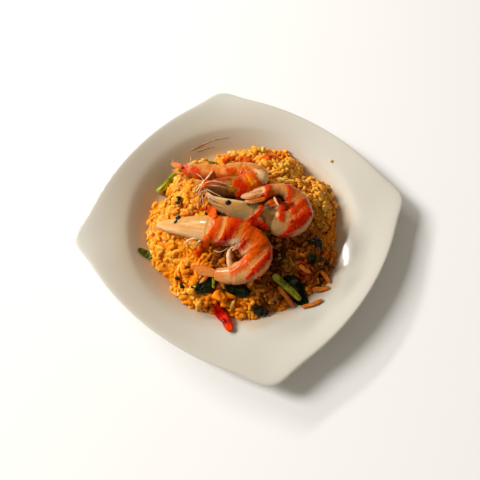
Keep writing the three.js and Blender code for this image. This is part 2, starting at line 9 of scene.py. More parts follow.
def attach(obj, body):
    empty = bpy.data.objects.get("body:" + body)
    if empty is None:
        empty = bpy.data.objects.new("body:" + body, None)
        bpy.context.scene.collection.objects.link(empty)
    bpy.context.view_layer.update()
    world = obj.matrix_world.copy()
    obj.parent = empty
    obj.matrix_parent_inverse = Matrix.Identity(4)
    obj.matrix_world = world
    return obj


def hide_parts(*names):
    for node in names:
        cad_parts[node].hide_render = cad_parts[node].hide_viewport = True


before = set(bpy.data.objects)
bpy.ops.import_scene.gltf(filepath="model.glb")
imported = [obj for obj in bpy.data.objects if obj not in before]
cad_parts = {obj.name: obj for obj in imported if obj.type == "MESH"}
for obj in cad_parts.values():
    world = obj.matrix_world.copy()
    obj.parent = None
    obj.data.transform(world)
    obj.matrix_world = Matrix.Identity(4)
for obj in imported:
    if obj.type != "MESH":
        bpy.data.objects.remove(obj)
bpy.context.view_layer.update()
mm = 0.001  # curves and rods are worked out in millimetres, and a mesh is filled in metres


def clearSelection():
    bpy.ops.object.select_all(action="DESELECT")


def pickOnly(piece):
    clearSelection()
    bpy.context.view_layer.objects.active = piece
    piece.select_set(True)


def editMesh(piece, *steps):
    # runs each step, a mesh operator with its settings, on the whole of a piece
    pickOnly(piece)
    bpy.ops.object.mode_set(mode="EDIT")
    for operator, settings in steps:
        bpy.ops.mesh.select_all(action="SELECT")
        operator(**settings)
    bpy.ops.object.mode_set(mode="OBJECT")


outwards = (bpy.ops.mesh.normals_make_consistent, {"inside": False})


def smoothCurve(points, samples=40):
    # points of a soft line through the given ones, the share of its length at each, and its length
    p = np.array(points, float)
    p = np.vstack([2 * p[0] - p[1], p, 2 * p[-1] - p[-2]])
    line = []
    t = np.linspace(0, 1, samples, endpoint=False)[:, None]
    for a, b, c, d in zip(p[:-3], p[1:-2], p[2:-1], p[3:]):
        before, here, after = [max(np.linalg.norm(v), 1e-9) ** 0.5 for v in (b - a, c - b, d - c)]
        leave = ((b - a) / before - (c - a) / (before + here) + (c - b) / here) * here
        reach = ((c - b) / here - (d - b) / (here + after) + (d - c) / after) * here
        line.append(b * (2 * t**3 - 3 * t**2 + 1) + leave * (t**3 - 2 * t**2 + t)
                    + c * (-2 * t**3 + 3 * t**2) + reach * (t**3 - t**2))
    line = np.vstack(line + [p[-2][None]])
    run = np.r_[0, np.cumsum(np.linalg.norm(np.diff(line, axis=0), axis=1))]
    return line, run / run[-1], run[-1]


def along(curve, share):
    line, shares, _ = curve
    return np.stack([np.interp(share, shares, line[:, k]) for k in range(3)], -1)


def heading(curve, share, step=0.006):
    ahead = along(curve, np.clip(share + step, 0, 1))
    behind = along(curve, np.clip(share - step, 0, 1))
    run = ahead - behind
    return run / np.linalg.norm(run, axis=-1, keepdims=True)


def stations(table, share):
    table = np.array(table, float)
    return np.interp(share, table[:, 0], table[:, 1])


def unit(v):
    return v / np.maximum(np.linalg.norm(v, axis=-1, keepdims=True), 1e-12)


def readPoints(piece):
    flat = np.empty(len(piece.data.vertices) * 3, np.float32)
    piece.data.vertices.foreach_get("co", flat)
    return flat.reshape(-1, 3).astype(float) / mm


def writePoints(piece, points):
    piece.data.vertices.foreach_set("co", (np.asarray(points) * mm).astype(np.float32).ravel())
    piece.data.update()


def writeValue(piece, name, values):
    layer = piece.data.attributes.get(name) or piece.data.attributes.new(name, "FLOAT", "POINT")
    layer.data.foreach_set("value", np.asarray(values, np.float32))


def writeColour(piece, name, colours):
    withAlpha = np.column_stack([colours, np.ones(len(colours))]).astype(np.float32)
    layer = piece.data.attributes.new(name, "FLOAT_COLOR", "POINT")
    layer.data.foreach_set("color", withAlpha.ravel())


def newPiece(name, mesh):
    piece = bpy.data.objects.new(name, mesh)
    bpy.context.scene.collection.objects.link(piece)
    return piece


def meshPiece(name, points, edges=(), faces=()):
    mesh = bpy.data.meshes.new(name)
    mesh.from_pydata((np.asarray(points) * mm).tolist(), list(edges), list(faces))
    mesh.update()
    return newPiece(name, mesh)


def smoothShade(piece):
    pickOnly(piece)
    bpy.ops.object.shade_smooth()


def joinPieces(pieces, name):
    whole = pieces[0]
    pickOnly(whole)
    for piece in pieces:
        piece.select_set(True)
    bpy.ops.object.join()
    whole.name = whole.data.name = name
    return whole


def applyModifier(piece, kind, **settings):
    pickOnly(piece)
    modifier = piece.modifiers.new(kind.title(), kind)
    for key, value in settings.items():
        setattr(modifier, key, value)
    bpy.ops.object.modifier_apply(modifier=modifier.name)


def rising(value, start, end):
    # 0 up to start, 1 from end, and straight between
    return np.clip((value - start) / (end - start), 0, 1)


def roughen(points, size, seed):
    # soft noise, about -1 to 1, at each point, for lumps of the given size
    return np.array([noise.noise(Vector(p / size) + Vector((seed, 0, 0))) for p in points])


def bluntEnds(share, power, least):
    # 1 along most of a rod, and falling to its two ends
    return np.sqrt(np.clip(1 - np.abs(2 * share - 1) ** power, least, 1))


def bentRod(name, curve, rings, sides, section):
    # a ball drawn out along a curve; section gives the offsets across and up at each point
    clearSelection()
    bpy.ops.mesh.primitive_uv_sphere_add(segments=sides, ring_count=rings, radius=1)
    rod = bpy.context.object
    rod.name = rod.data.name = name
    ball = readPoints(rod) * mm
    ring = np.rint(np.arccos(np.clip(ball[:, 2], -1, 1)) / math.pi * rings).astype(int)
    share = np.linspace(0, 1, rings + 1)[ring]
    turn = np.arctan2(ball[:, 1], ball[:, 0])
    ends = (ring == 0) | (ring == rings)
    offAcross, offUp = [np.where(ends, 0, off)[:, None] for off in section(share, turn)]
    run = heading(curve, share)
    across = unit(np.cross(np.array([0, 0, 1.0]), run))
    writePoints(rod, along(curve, share) + across * offAcross + np.cross(run, across) * offUp)
    editMesh(rod, outwards)
    writeValue(rod, "share", share)
    return rod, share, turn


def strand(name, points, half, taper, rings, sides, knots=0.0):
    # a thin tapering rod, blunt at both ends, with slight swellings where it is jointed
    def section(share, turn):
        swell = 1 + knots * np.cos(share * 6 * math.pi)
        size = half * (1 + (taper - 1) * share) * bluntEnds(share, 7, 0.05) * swell
        return size * np.cos(turn), size * np.sin(turn)

    return bentRod(name, smoothCurve(points, 16), rings, sides, section)[0]


def feed(tree, socket, value):
    if isinstance(value, bpy.types.NodeSocket):
        tree.links.new(value, socket)
    else:
        socket.default_value = value


def addNode(tree, kind, inputs=None, **settings):
    made = tree.nodes.new(kind)
    for key, value in settings.items():
        setattr(made, key, value)
    for key, value in (inputs or {}).items():
        feed(tree, made.inputs[key], value)
    return made


def blendColour(tree, factor, first, second, mode="MIX"):
    made = addNode(tree, "ShaderNodeMix", {0: factor}, data_type="RGBA", blend_type=mode)
    for index, colour in ((6, first), (7, second)):  # the node's two colour sockets
        linked = isinstance(colour, bpy.types.NodeSocket)
        feed(tree, made.inputs[index], colour if linked else (*colour, 1))
    return made.outputs[2]


def maths(tree, operation, first, second, clamp=False):
    made = addNode(tree, "ShaderNodeMath", {0: first, 1: second}, operation=operation, use_clamp=clamp)
    return made.outputs[0]


def times(tree, first, second):
    return maths(tree, "MULTIPLY", first, second)


def plus(tree, first, second):
    return maths(tree, "ADD", first, second)


def vectorMaths(tree, operation, *given):
    made = addNode(tree, "ShaderNodeVectorMath", dict(enumerate(given)), operation=operation)
    return made.outputs["Value" if operation in ("LENGTH", "DOT_PRODUCT") else "Vector"]


def spread(tree, value, low, high, toLow=0.0, toHigh=1.0):
    # takes low to toLow and high to toHigh, and holds there
    made = addNode(tree, "ShaderNodeMapRange", {0: value, 1: low, 2: high, 3: toLow, 4: toHigh})
    return made.outputs[0]


def ramp(tree, factor, places, colours):
    made = addNode(tree, "ShaderNodeValToRGB", {0: factor})
    elements = made.color_ramp.elements
    while len(elements) < len(places):
        elements.new(0.5)
    for element, place, colour in zip(elements, places, colours):
        element.position = place
        element.color = (*colour, 1)
    return made.outputs[0]


def painted(tree, name):
    return addNode(tree, "ShaderNodeAttribute", attribute_name=name).outputs["Fac"]


def paintedColour(tree, name):
    return addNode(tree, "ShaderNodeAttribute", attribute_name=name).outputs["Color"]


def noiseOn(tree, where, size, detail, warp=0.0):
    # noise with lumps of the given size in millimetres
    made = addNode(tree, "ShaderNodeTexNoise", {"Vector": where, "Scale": 1000.0 / size, "Detail": detail,
                                                "Roughness": 0.55, "Distortion": warp})
    return made.outputs[0]


def startMaterial(name, sockets):
    material = bpy.data.materials.new(name)
    material.use_nodes = True
    tree = material.node_tree
    shader = tree.nodes["Principled BSDF"]
    for socket, value in sockets.items():
        shader.inputs[socket].default_value = value
    where = addNode(tree, "ShaderNodeTexCoord").outputs["Object"]
    return material, tree, shader, where


def startGroup(name, inputs, outputs):
    group = bpy.data.node_groups.new(name, "ShaderNodeTree")
    for label, value in inputs.items():
        socket = group.interface.new_socket(label, in_out="INPUT", socket_type="NodeSocketFloat")
        socket.default_value = value
    for label in outputs:
        group.interface.new_socket(label, in_out="OUTPUT", socket_type="NodeSocketFloat")
    source = group.nodes.new("NodeGroupInput")
    sink = group.nodes.new("NodeGroupOutput")
    return group, source, sink


def oilFilmGroup():
    # the roughness of a skin where cooking oil has pooled on it
    group, source, sink = startGroup("oilFilm", {"Scale": 250.0, "Dry": 0.5, "Wet": 0.15, "Cover": 0.5},
                                     ("Roughness",))
    given = source.outputs
    where = addNode(group, "ShaderNodeTexCoord").outputs["Object"]
    broad = addNode(group, "ShaderNodeTexNoise", {"Vector": where, "Scale": given["Scale"], "Detail": 3.0})
    low = maths(group, "SUBTRACT", 1.0, given["Cover"])
    brink = 0.1  # how softly the oil ends
    pool = spread(group, broad.outputs[0], maths(group, "SUBTRACT", low, brink), plus(group, low, brink))
    span = maths(group, "SUBTRACT", given["Wet"], given["Dry"])
    group.links.new(plus(group, given["Dry"], times(group, span, pool)), sink.inputs["Roughness"])
    return group


def fibreGroup():
    # fine lines that run the length of a strip, shell or leaf, on its own UV map
    group, source, sink = startGroup("fibres", {"Lines": 40.0, "Stretch": 3.0}, ("Mask", "Height"))
    uv = addNode(group, "ShaderNodeTexCoord").outputs["UV"]
    split = addNode(group, "ShaderNodeSeparateXYZ", {0: uv})
    grown = addNode(group, "ShaderNodeCombineXYZ", {
        0: times(group, split.outputs[0], source.outputs["Lines"]),
        1: times(group, split.outputs[1], source.outputs["Stretch"])})
    lines = addNode(group, "ShaderNodeTexNoise", {"Vector": grown.outputs[0], "Scale": 1.0, "Detail": 3.0})
    group.links.new(spread(group, lines.outputs[0], 0.3, 0.7), sink.inputs["Mask"])
    group.links.new(lines.outputs[0], sink.inputs["Height"])
    return group


oilFilm = oilFilmGroup()
fibres = fibreGroup()


def useGroup(tree, group, **inputs):
    made = addNode(tree, "ShaderNodeGroup", node_tree=group)
    for label, value in inputs.items():
        feed(tree, made.inputs[label], value)
    return made


def oiled(tree, scale, dry, wet, cover):
    return useGroup(tree, oilFilm, Scale=scale, Dry=dry, Wet=wet, Cover=cover).outputs["Roughness"]


def dress(tree, shader, colour, roughness, height=None, strength=0.0, depth=0.0):
    # joins a material's colour, its roughness and, where it has one, its relief to the shader
    tree.links.new(colour, shader.inputs["Base Color"])
    tree.links.new(roughness, shader.inputs["Roughness"])
    if height is not None:
        bump = addNode(tree, "ShaderNodeBump", {
            "Strength": strength, "Distance": depth * mm, "Height": height})
        tree.links.new(bump.outputs[0], shader.inputs["Normal"])


cameraView = {
    "place": (-30.647, -178.957, 345.040),
    "right": (0.98865029, -0.15019283, 0.00356739),
    "up": (0.13303644, 0.88625601, 0.44367961),
    "lens": 35.43, "sensor": 36,
    "pixels": 480,  # across and down, for the strokes on the prawns
}

studio = {
    # place, width and height, power, seen in gloss: a broad soft window, and a narrow one that glints
    "windows": {
        "windowLight": ((-2.58, 0.94, 2.17), (0.95, 1.15), 129.0, False),
        "windowGlint": ((-1.145, 1.414, 1.05), (1.0, 0.10), 18.0, True),
    },
    "windowColour": (1.0, 0.975, 0.95),
    "skyColour": (1.0, 0.90, 0.74),
    "skyStrength": 0.285,
    "floorSize": 6, "floorLevel": -0.0002,
    "floorColour": (0.93, 0.93, 0.93), "floorRoughness": 0.8,
    "floorTone": 0.985, "floorCloud": 400,  # how dark its clouds are, and their size in millimetres
}


def makeCamera():
    bpy.ops.object.camera_add()
    camera = bpy.context.object
    right, up = Vector(cameraView["right"]), Vector(cameraView["up"])
    turn = Matrix((right, up, right.cross(up))).transposed().to_4x4()
    camera.matrix_world = Matrix.Translation(Vector(cameraView["place"]) * mm) @ turn
    camera.data.lens = cameraView["lens"]
    camera.data.sensor_width = cameraView["sensor"]
    camera.data.clip_start = 0.01
    bpy.context.scene.camera = camera


def makeFloor():
    clearSelection()
    bpy.ops.mesh.primitive_plane_add(size=studio["floorSize"], location=(0, 0, studio["floorLevel"]))
    floor = bpy.context.object
    floor.name = "floor"
    material, tree, shader, where = startMaterial("floorPaper", {"Roughness": studio["floorRoughness"]})
    light = studio["floorColour"]
    dark = [c * studio["floorTone"] for c in light]
    tone = blendColour(tree, noiseOn(tree, where, studio["floorCloud"], 2), light, dark)
    tree.links.new(tone, shader.inputs["Base Color"])
    floor.data.materials.append(material)


def makeLights():
    for name, (place, (width, height), power, glints) in studio["windows"].items():
        bpy.ops.object.light_add(type="AREA", location=place)
        window = bpy.context.object
        window.name = name
        window.data.shape = "RECTANGLE"
        window.data.size = width
        window.data.size_y = height
        window.data.energy = power
        window.data.color = studio["windowColour"]
        window.visible_glossy = glints
        window.rotation_euler = (-Vector(place)).to_track_quat("-Z", "Y").to_euler()
    world = bpy.data.worlds.new("softSky")
    bpy.context.scene.world = world
    world.use_nodes = True
    sky = world.node_tree.nodes["Background"]
    sky.inputs["Color"].default_value = (*studio["skyColour"], 1)
    sky.inputs["Strength"].default_value = studio["skyStrength"]
    world.cycles_visibility.glossy = False
    bpy.context.scene.view_settings.view_transform = "Standard"


makeCamera()
makeFloor()
makeLights()
print("camera, floor and light are up")

plate = {
    "sideRadius": 111.9, "cornerRadius": 130, "cornerFlare": 4.4, "cornerFlareWidth": 0.15,
    "cornerRound": 0.085, "cornerDip": 2.1, "cornerDipWidth": 0.45,
    "rimHeight": 22, "wellRadius": 92, "wellHeight": 17, "floorRadius": 71, "floorHeight": 5.5,
    "footInner": 57, "footOuter": 62, "recess": 1.6, "turns": 256, "softenings": 2,
}


def offCorner(angle):
    quarter = math.pi / 2
    turned = np.mod(angle, quarter)
    return np.minimum(turned, quarter - turned) / (quarter / 2)


def plateReach(angle):
    off = offCorner(angle)
    blunt = np.hypot(off, plate["cornerRound"]) / math.hypot(1, plate["cornerRound"])
    fromMiddle = (1 - blunt) * (math.pi / 4)
    corner = plate["cornerRadius"] * math.sqrt(0.5)
    side = plate["sideRadius"]
    bow = (2 * corner**2 - side**2) / (2 * (corner - side))
    level = bow * np.cos(fromMiddle)
    reach = level + np.sqrt((side - bow) ** 2 - bow**2 + level**2)
    return reach + plate["cornerFlare"] * np.exp(-((off / plate["cornerFlareWidth"]) ** 2))


def plateProfile():
    edge, rim = plate["sideRadius"], plate["rimHeight"]
    well, brink = plate["wellRadius"], plate["wellHeight"]
    floor, low = plate["floorRadius"], plate["floorHeight"]
    inner, outer, recess = plate["footInner"], plate["footOuter"], plate["recess"]
    return [
        (0, recess), (inner - 1, recess), (inner, 0), (outer, 0), (outer + 1.5, 2.2),
        (floor + 6, 3.2), (well - 5, brink - 6.5), (well + 4, brink - 3),
        (edge - 2, rim - 3.6), (edge - 0.2, rim - 2.2), (edge - 0.4, rim - 0.6), (edge - 2, rim),
        (well + 8, brink + 2), (well + 1, brink), (well - 4, brink - 2.6),
        (floor + 9, low + 4), (floor + 4, low + 1), (floor, low), (0, low),
    ]


def softened(points, rounds):
    # cuts each corner of an open line at its quarter points
    line = np.array(points, float)
    for _ in range(rounds):
        cut = np.empty((2 * len(line) - 2, 2))
        cut[0::2] = line[:-1] * 0.75 + line[1:] * 0.25
        cut[1::2] = line[:-1] * 0.25 + line[1:] * 0.75
        line = np.vstack([line[:1], cut[1:-1], line[-1:]])
    return line


def makePlate():
    line = softened(plateProfile(), plate["softenings"])
    piece = meshPiece("squarePlate", np.insert(line, 1, 0, axis=1),
                      edges=[(i, i + 1) for i in range(len(line) - 1)])
    editMesh(piece,
             (bpy.ops.mesh.spin, {"steps": plate["turns"], "angle": 2 * math.pi, "center": (0, 0, 0),
                                  "axis": (0, 0, 1)}),
             (bpy.ops.mesh.remove_doubles, {"threshold": 1e-6}), outwards)
    spun = readPoints(piece)
    radius = np.hypot(spun[:, 0], spun[:, 1])
    angle = np.arctan2(spun[:, 1], spun[:, 0])
    well = plate["wellRadius"]
    share = np.clip((radius - well) / (plate["sideRadius"] - well), 0, None)
    reach = np.where(share > 0, well + share * (plateReach(angle) - well), radius)
    spun[:, :2] *= (reach / np.maximum(radius, 1e-9))[:, None]
    spun[:, 2] -= share * plate["cornerDip"] * np.exp(-((offCorner(angle) / plate["cornerDipWidth"]) ** 2))
    writePoints(piece, spun)
    smoothShade(piece)
    # oil, and the painted shade on the side away from the window, lie only on what faces up
    writeValue(piece, "upward", np.clip([4 * v.normal.z for v in piece.data.vertices], 0, 1))
    piece.data.materials.append(plateGlaze())
    return piece


glaze = {
    "cream": (0.65, 0.62, 0.54), "cloud": 60, "cloudTone": 0.97,
    "thin": (0.56, 0.51, 0.43), "speck": 1.6,  # where the glaze has run thin
    # oil is a stain round the heap; film is a painted shade on the side of the plate away from the window
    "oil": (0.62, 0.36, 0.14), "film": (0.40, 0.30, 0.17),
    "heapMiddle": (0.0015, -0.003, 0.0),
    "seepReach": (0.074, 0.087), "seepMuch": 0.55, "ragged": 0.011,  # metres from the heap's middle
    "sideShadeReach": (0.080, 0.124), "sideShadeMuch": 0.85, "sideShadeTowards": (-0.85, 0.53, 0),
    "roughness": 0.16, "smeared": 0.22, "smear": 24, "waves": 9,
}


def plateGlaze():
    material, tree, shader, where = startMaterial("plateGlaze", {
        "IOR": 1.5, "Specular IOR Level": 0.35, "Coat Weight": 0.3, "Coat Roughness": 0.05})
    cloud = spread(tree, noiseOn(tree, where, glaze["cloud"], 3), 0.35, 0.7)
    colour = blendColour(tree, cloud, glaze["cream"], [c * glaze["cloudTone"] for c in glaze["cream"]])
    speck = spread(tree, noiseOn(tree, where, glaze["speck"], 1), 0.74, 0.8, 0, 0.35)
    colour = blendColour(tree, speck, colour, glaze["thin"])
    # oil that has run out of the rice, in a ragged ring round the foot of the heap
    upward = painted(tree, "upward")
    fromHeap = vectorMaths(tree, "SUBTRACT", where, glaze["heapMiddle"])
    flat = vectorMaths(tree, "MULTIPLY", fromHeap, (1, 1, 0))
    away = vectorMaths(tree, "LENGTH", flat)
    uneven = spread(tree, noiseOn(tree, where, 16, 4), 0, 1, -glaze["ragged"], glaze["ragged"])
    seep = spread(tree, plus(tree, away, uneven), *glaze["seepReach"], glaze["seepMuch"], 0.0)
    # and a warm brown painted shade that reaches further out on one side, over the upper-left wall and rim,
    # which face away from the window
    towards = vectorMaths(tree, "DOT_PRODUCT", vectorMaths(tree, "NORMALIZE", flat), glaze["sideShadeTowards"])
    sided = spread(tree, towards, -0.3, 0.75, 0.05, 1.0)
    film = spread(tree, away, *glaze["sideShadeReach"], glaze["sideShadeMuch"], 0.0)
    colour = blendColour(tree, times(tree, film, times(tree, sided, upward)), colour, glaze["film"])
    colour = blendColour(tree, times(tree, seep, upward), colour, glaze["oil"])
    smear = noiseOn(tree, where, glaze["smear"], 4, warp=1.5)
    dress(tree, shader, colour, spread(tree, smear, 0.35, 0.75, glaze["roughness"], glaze["smeared"]),
          noiseOn(tree, where, glaze["waves"], 2), 0.12, 0.25)
    return material


squarePlate = makePlate()
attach(squarePlate, "root")
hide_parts("plate")
print("plate:", len(squarePlate.data.vertices), "points")


# the heap: a plain core under thousands of separate grains

rice = {
    "seed": 11,
    "tries": 60000, "spacing": 2.6,
    "steepest": -0.35,  # grains lie on nothing that faces further down than this
    "clearance": 1.4,  # of the toppings, from a grain's middle
    "near": 4,  # this near to a topping, a grain has to be outside it
    "coreDepth": (-0.5, 1.5), "coreClearance": 0.6,  # on the pale and dark sides, and from the toppings
    "long": {"share": 0.43, "length": (5.8, 8.4), "width": (2.6, 3.3), "lumps": 0.06, "mesh": (8, 6)},
    "short": {"share": 0.32, "length": (4.0, 5.8), "width": (3.0, 4.0), "lumps": 0.09, "mesh": (7, 6)},
    "egg": {"share": 0.16, "length": (5.4, 9.4), "width": (4.0, 6.2), "lumps": 0.18, "mesh": (9, 7)},
    "crumb": {"share": 0.09, "length": (2.4, 4.0), "width": (2.1, 3.1), "lumps": 0.12, "mesh": (6, 5)},
    "flatness": (0.78, 1.0), "bend": 0.10, "lean": 0.25, "tilt": 0.45,
    "bluntness": (2.6, 0.42),  # how full a grain is towards its ends
    "sink": (-1.1, 0.1), "easing": (1, 6),  # from a topping, where the clumps start and end their rise
    "upper": (-10, 30), "tint": 0.6,  # across the plate, and how much the patches' colour varies
    "floor": 5.75, "heapReach": 85,  # no grain goes below the one, or is lifted beyond the other
    "evenness": 0.15,  # how much smoother the pale side is heaped
    "paleAndLit": (20, 0.5, 80),  # where it starts across the plate, how its line leans, how far it takes
    # the lumps that grains stick into: how far apart, their rise, unevenness, crack depth and width,
    # fine noise, and how much their outlines are bent
    "clumps": {"apart": 8.0, "tries": 6000, "rise": 1.9, "dome": 0.6, "narrow": 1.4, "uneven": 1.7,
               "crack": 2.2, "crackWidth": 1.7, "fine": 1.4, "fineSize": 4.2, "bent": 1.6},
    # grains that have strayed over the plate
    "scattered": [(74, 8, 8.6), (-66, -45, 7.4), (-12, 78, 9.6), (-69, -38, 7.2), (82.2, 43.7, 17.8)],
    # a grain's tone, 0 brown to 1 cream: its usual one, then what each thing adds to it. The lit terms are
    # partly painted light on the window side, upper is partly painted light on the back of the darker side,
    # and the crack terms are painted shade in the cracks between clumps
    "tone": {"usual": 0.47, "lit": 0.21, "upper": 0.12, "clump": 0.12, "crack": 0.2, "litCrack": 0.14,
             "luck": 0.17, "litLuck": 0.10},
    # the core's tone: partly painted light on the window side, and painted shade in the cracks
    "coreTone": {"usual": 0.18, "lit": 0.38, "luck": 0.2, "crack": 0.2},
}

riceShades = {
    "brown": (0.62, 0.130, 0.002),
    "amber": (0.86, 0.225, 0.004),
    "gold": (0.95, 0.295, 0.008),
    "pale": (0.96, 0.43, 0.046),
    "cream": (0.94, 0.60, 0.19),
}
riceTones = (0.02, 0.26, 0.5, 0.78, 1.0)  # the tone at which each shade is met
# patches over the rice: middle and size of the patch, how much of it, its colour. Most are where the frying
# has coloured the rice; some are painted shadow, painted shade and painted light
ricePatches = [
    # the straw patches are partly the rice's own yellower tone and partly painted light, on the back and
    # right of the heap, which face away from the window
    (60, -18, 18, 0.5, "gold"), (56, -38, 14, 0.6, "ochre"), (66, 8, 16, 0.8, "straw"),
    (44, 30, 20, 0.85, "straw"), (20, 56, 18, 0.35, "straw"), (58, -6, 14, 0.7, "straw"),
    (-6, 60, 14, 0.25, "straw"), (-30, 50, 14, 0.5, "pale"), (24, -42, 20, 0.85, "umber"),
    (40, -44, 20, 0.8, "umber"), (48, -22, 18, 0.6, "umber"), (30, -20, 16, 0.7, "umber"),
    # the soy patches are partly soy-browned rice and partly painted shadow, cast by the prawns on the rice
    # low and to their right
    (52, -6, 10, 0.2, "umber"), (50, -54, 12, 0.9, "soy"), (14, -40, 14, 0.95, "soy"),
    (20, -50, 13, 0.9, "soy"), (8, -62, 13, 0.85, "soy"), (32, -60, 10, 0.85, "soy"),
    (38, -52, 8, 0.8, "chilli"), (27, -50, 7, 0.35, "pale"), (-22, -39, 14, 0.95, "rust"),
    (-20, -41, 13, 0.8, "umber"), (-18, -40, 9, 0.5, "maroon"), (-46, 30, 12, 0.7, "pale"),
    (-52, 12, 12, 0.5, "pale"), (-38, -31, 9, 0.7, "gold"), (-52, -11, 7, 0.7, "rust"),
    # the maroon patch at (32, -2) is painted shade on the rice seen through the hollow of the middle
    # prawn's ring
    (32, -2, 8, 1.0, "maroon"), (48, 22, 8, 0.5, "rust"), (-3, 47, 9, 0.7, "rust"),
    (-20, 42, 11, 0.55, "rust"), (14, 45, 8, 0.4, "rust"), (-34, -66, 6, 0.6, "rust"),
    (82, 44, 4, 0.9, "cream"), (-44, -60, 8, 0.6, "pale"), (-5, -57, 6, 0.6, "pale"),
    (-12, -72, 6, 0.6, "amber"), (12, -69, 10, 0.65, "umber"), (-32, 12, 9, 0.5, "rust"),
    (-31, 22, 9, 0.6, "umber"), (-44, 3, 8, 0.35, "rust"), (60, -44, 8, 0.6, "chilli"),
    (-10, -62, 5, 0.5, "rust"),
]
# soy is soy-browned rice darkened further as painted shadow; straw is partly the rice's own yellow and
# partly painted light
patchShades = {
    **riceShades, "rust": (0.42, 0.075, 0.003), "umber": (0.20, 0.048, 0.005), "soy": (0.075, 0.013, 0.002),
    "ochre": (0.40, 0.145, 0.006), "straw": (0.95, 0.46, 0.055), "chilli": (0.42, 0.028, 0.003),
    "maroon": (0.11, 0.008, 0.003),
}
# how far a patch reaches and fades, in its own sizes, and how evenly it colours the grains
patchEdge = {"reach": 1.15, "soft": 0.6, "usual": 0.85, "luck": 0.55}


def ball(segments, rings):
    clearSelection()
    bpy.ops.mesh.primitive_uv_sphere_add(segments=segments, ring_count=rings, radius=1)
    made = bpy.context.object
    points = readPoints(made) * mm
    faces = [tuple(p.vertices) for p in made.data.polygons]
    bpy.data.objects.remove(made)
    return points[:, [2, 0, 1]], faces  # its poles lie along x


def scatter(draw, tries, apart):
    # places spread over the heap's own solid, none nearer to another than apart
    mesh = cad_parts["rice_heap"].data
    points = np.array([v.co for v in mesh.vertices]) / mm
    corners = points[np.array([p.vertices[:] for p in mesh.polygons])]
    cross = np.cross(corners[:, 1] - corners[:, 0], corners[:, 2] - corners[:, 0])
    area = np.linalg.norm(cross, axis=1)
    normal = cross / np.maximum(area, 1e-9)[:, None]
    area[normal[:, 2] < rice["steepest"]] = 0
    pick = draw.choice(len(area), tries, p=area / area.sum())
    a, b = draw.random((2, tries, 1))
    a, b = np.where(a + b > 1, 1 - a, a), np.where(a + b > 1, 1 - b, b)
    tri = corners[pick]
    spots = tri[:, 0] + a * (tri[:, 1] - tri[:, 0]) + b * (tri[:, 2] - tri[:, 0])
    steps = [(u, v, w) for u in (-1, 0, 1) for v in (-1, 0, 1) for w in (-1, 0, 1)]
    cells, kept = {}, []
    for i, spot in enumerate(spots.tolist()):
        cell = tuple(int(c // apart) for c in spot)
        near = [cells.get((cell[0] + u, cell[1] + v, cell[2] + w)) for u, v, w in steps]
        if all(p is None or math.dist(spot, p) >= apart for p in near):
            cells[cell] = spot
            kept.append(i)
    return spots[kept], normal[pick][kept]


def heapPlaces():
    # places for the grains, clear of the toppings
    spots, normals = scatter(draw, rice["tries"], rice["spacing"])
    kept = []
    for i, spot in enumerate(spots):
        at, facing, _, gap = toppings.find_nearest(Vector(spot))
        outside = gap >= rice["near"] or facing.dot(Vector(spot) - at) >= 0
        if gap >= rice["clearance"] and outside:
            kept.append(i)
    return spots[kept], normals[kept]


def nearClumps(points):
    # the clump each point belongs to, and how far it is from that clump's middle and from the next one's
    wander = np.column_stack([roughen(points, 5, seed) for seed in (41, 43, 47)])
    bent = points + rice["clumps"]["bent"] * wander
    squares = (bent**2).sum(1)[:, None] + (clumps**2).sum(1)[None] - 2 * bent @ clumps.T
    gaps = np.sqrt(np.maximum(squares, 0))
    own = gaps.argmin(1)
    two = np.partition(gaps, 1, axis=1)[:, :2]
    return own, two[:, 0], two[:, 1]


def clumpHeight(points):
    spec = rice["clumps"]
    own, near, far = nearClumps(points)
    crack = np.exp(-(((far - near) / spec["crackWidth"]) ** 2))
    dome = spec["dome"] - (near / spec["apart"] * spec["narrow"]) ** 2
    height = (spec["rise"] * dome + spec["uneven"] * clumpLuck[own] - spec["crack"] * crack
              + spec["fine"] * roughen(points, spec["fineSize"], 31))
    return height * (1 - rice["evenness"] * paleLitSide(points)), crack, clumpLuck[own]


def paleLitSide(points):
    # 1 to the left, where the rice is palest and lit, and 0 where it is brownest and shaded; the tone taken
    # from it is partly the rice's own colour and partly painted light and shade
    start, lean, reach = rice["paleAndLit"]
    return np.clip((start - points[:, 0] + lean * points[:, 1]) / reach, 0, 1)


def riceColour(points, tone, luck):
    # each point's own colour, with the patches over it: fried colour, and in places painted light and
    # painted shade
    stops = np.array(list(riceShades.values()))
    colour = np.column_stack([np.interp(tone, riceTones, stops[:, k]) for k in range(3)])
    for x, y, size, much, shade in ricePatches:
        away = np.hypot(points[:, 0] - x, points[:, 1] - y) / size
        within = np.clip((patchEdge["reach"] - away) / patchEdge["soft"], 0, 1)
        chance = np.clip(patchEdge["usual"] + patchEdge["luck"] * luck, 0, 1)
        share = (within * much * chance)[:, None]
        colour = colour * (1 - share) + np.array(patchShades[shade]) * share
    return colour


def grainShapes(kind, count):
    # each grain lengthwise along x: a blunt ball, bent, leaning and lumpy, rolled over by chance
    shape, faces = ball(*kind["mesh"])
    limits = (kind["length"], kind["width"], rice["flatness"])
    length, width, flat = [draw.uniform(*each, count)[:, None] for each in limits]
    bend = draw.normal(0, rice["bend"], count)[:, None]
    x, y, z = shape.T
    power, root = rice["bluntness"]
    blunt = (1 - np.abs(x) ** power) ** root / np.maximum(np.sqrt(1 - x**2), 0.05)
    blunt = np.where(np.abs(x) > 0.999, 0, blunt)
    lean = 1 + draw.uniform(-rice["lean"], rice["lean"], (count, 1)) * x[None]
    px = x[None] * length / 2
    py = y[None] * blunt * lean * width / 2 + bend * length * (x[None] ** 2 - 0.4)
    pz = z[None] * blunt * lean * width * flat / 2
    lumpy = 1 + kind["lumps"] * draw.standard_normal((count, len(x)))
    py, pz = py * lumpy, pz * lumpy
    roll = draw.uniform(0, 2 * math.pi, count)[:, None]
    py, pz = py * np.cos(roll) - pz * np.sin(roll), py * np.sin(roll) + pz * np.cos(roll)
    return (px, py, pz), faces


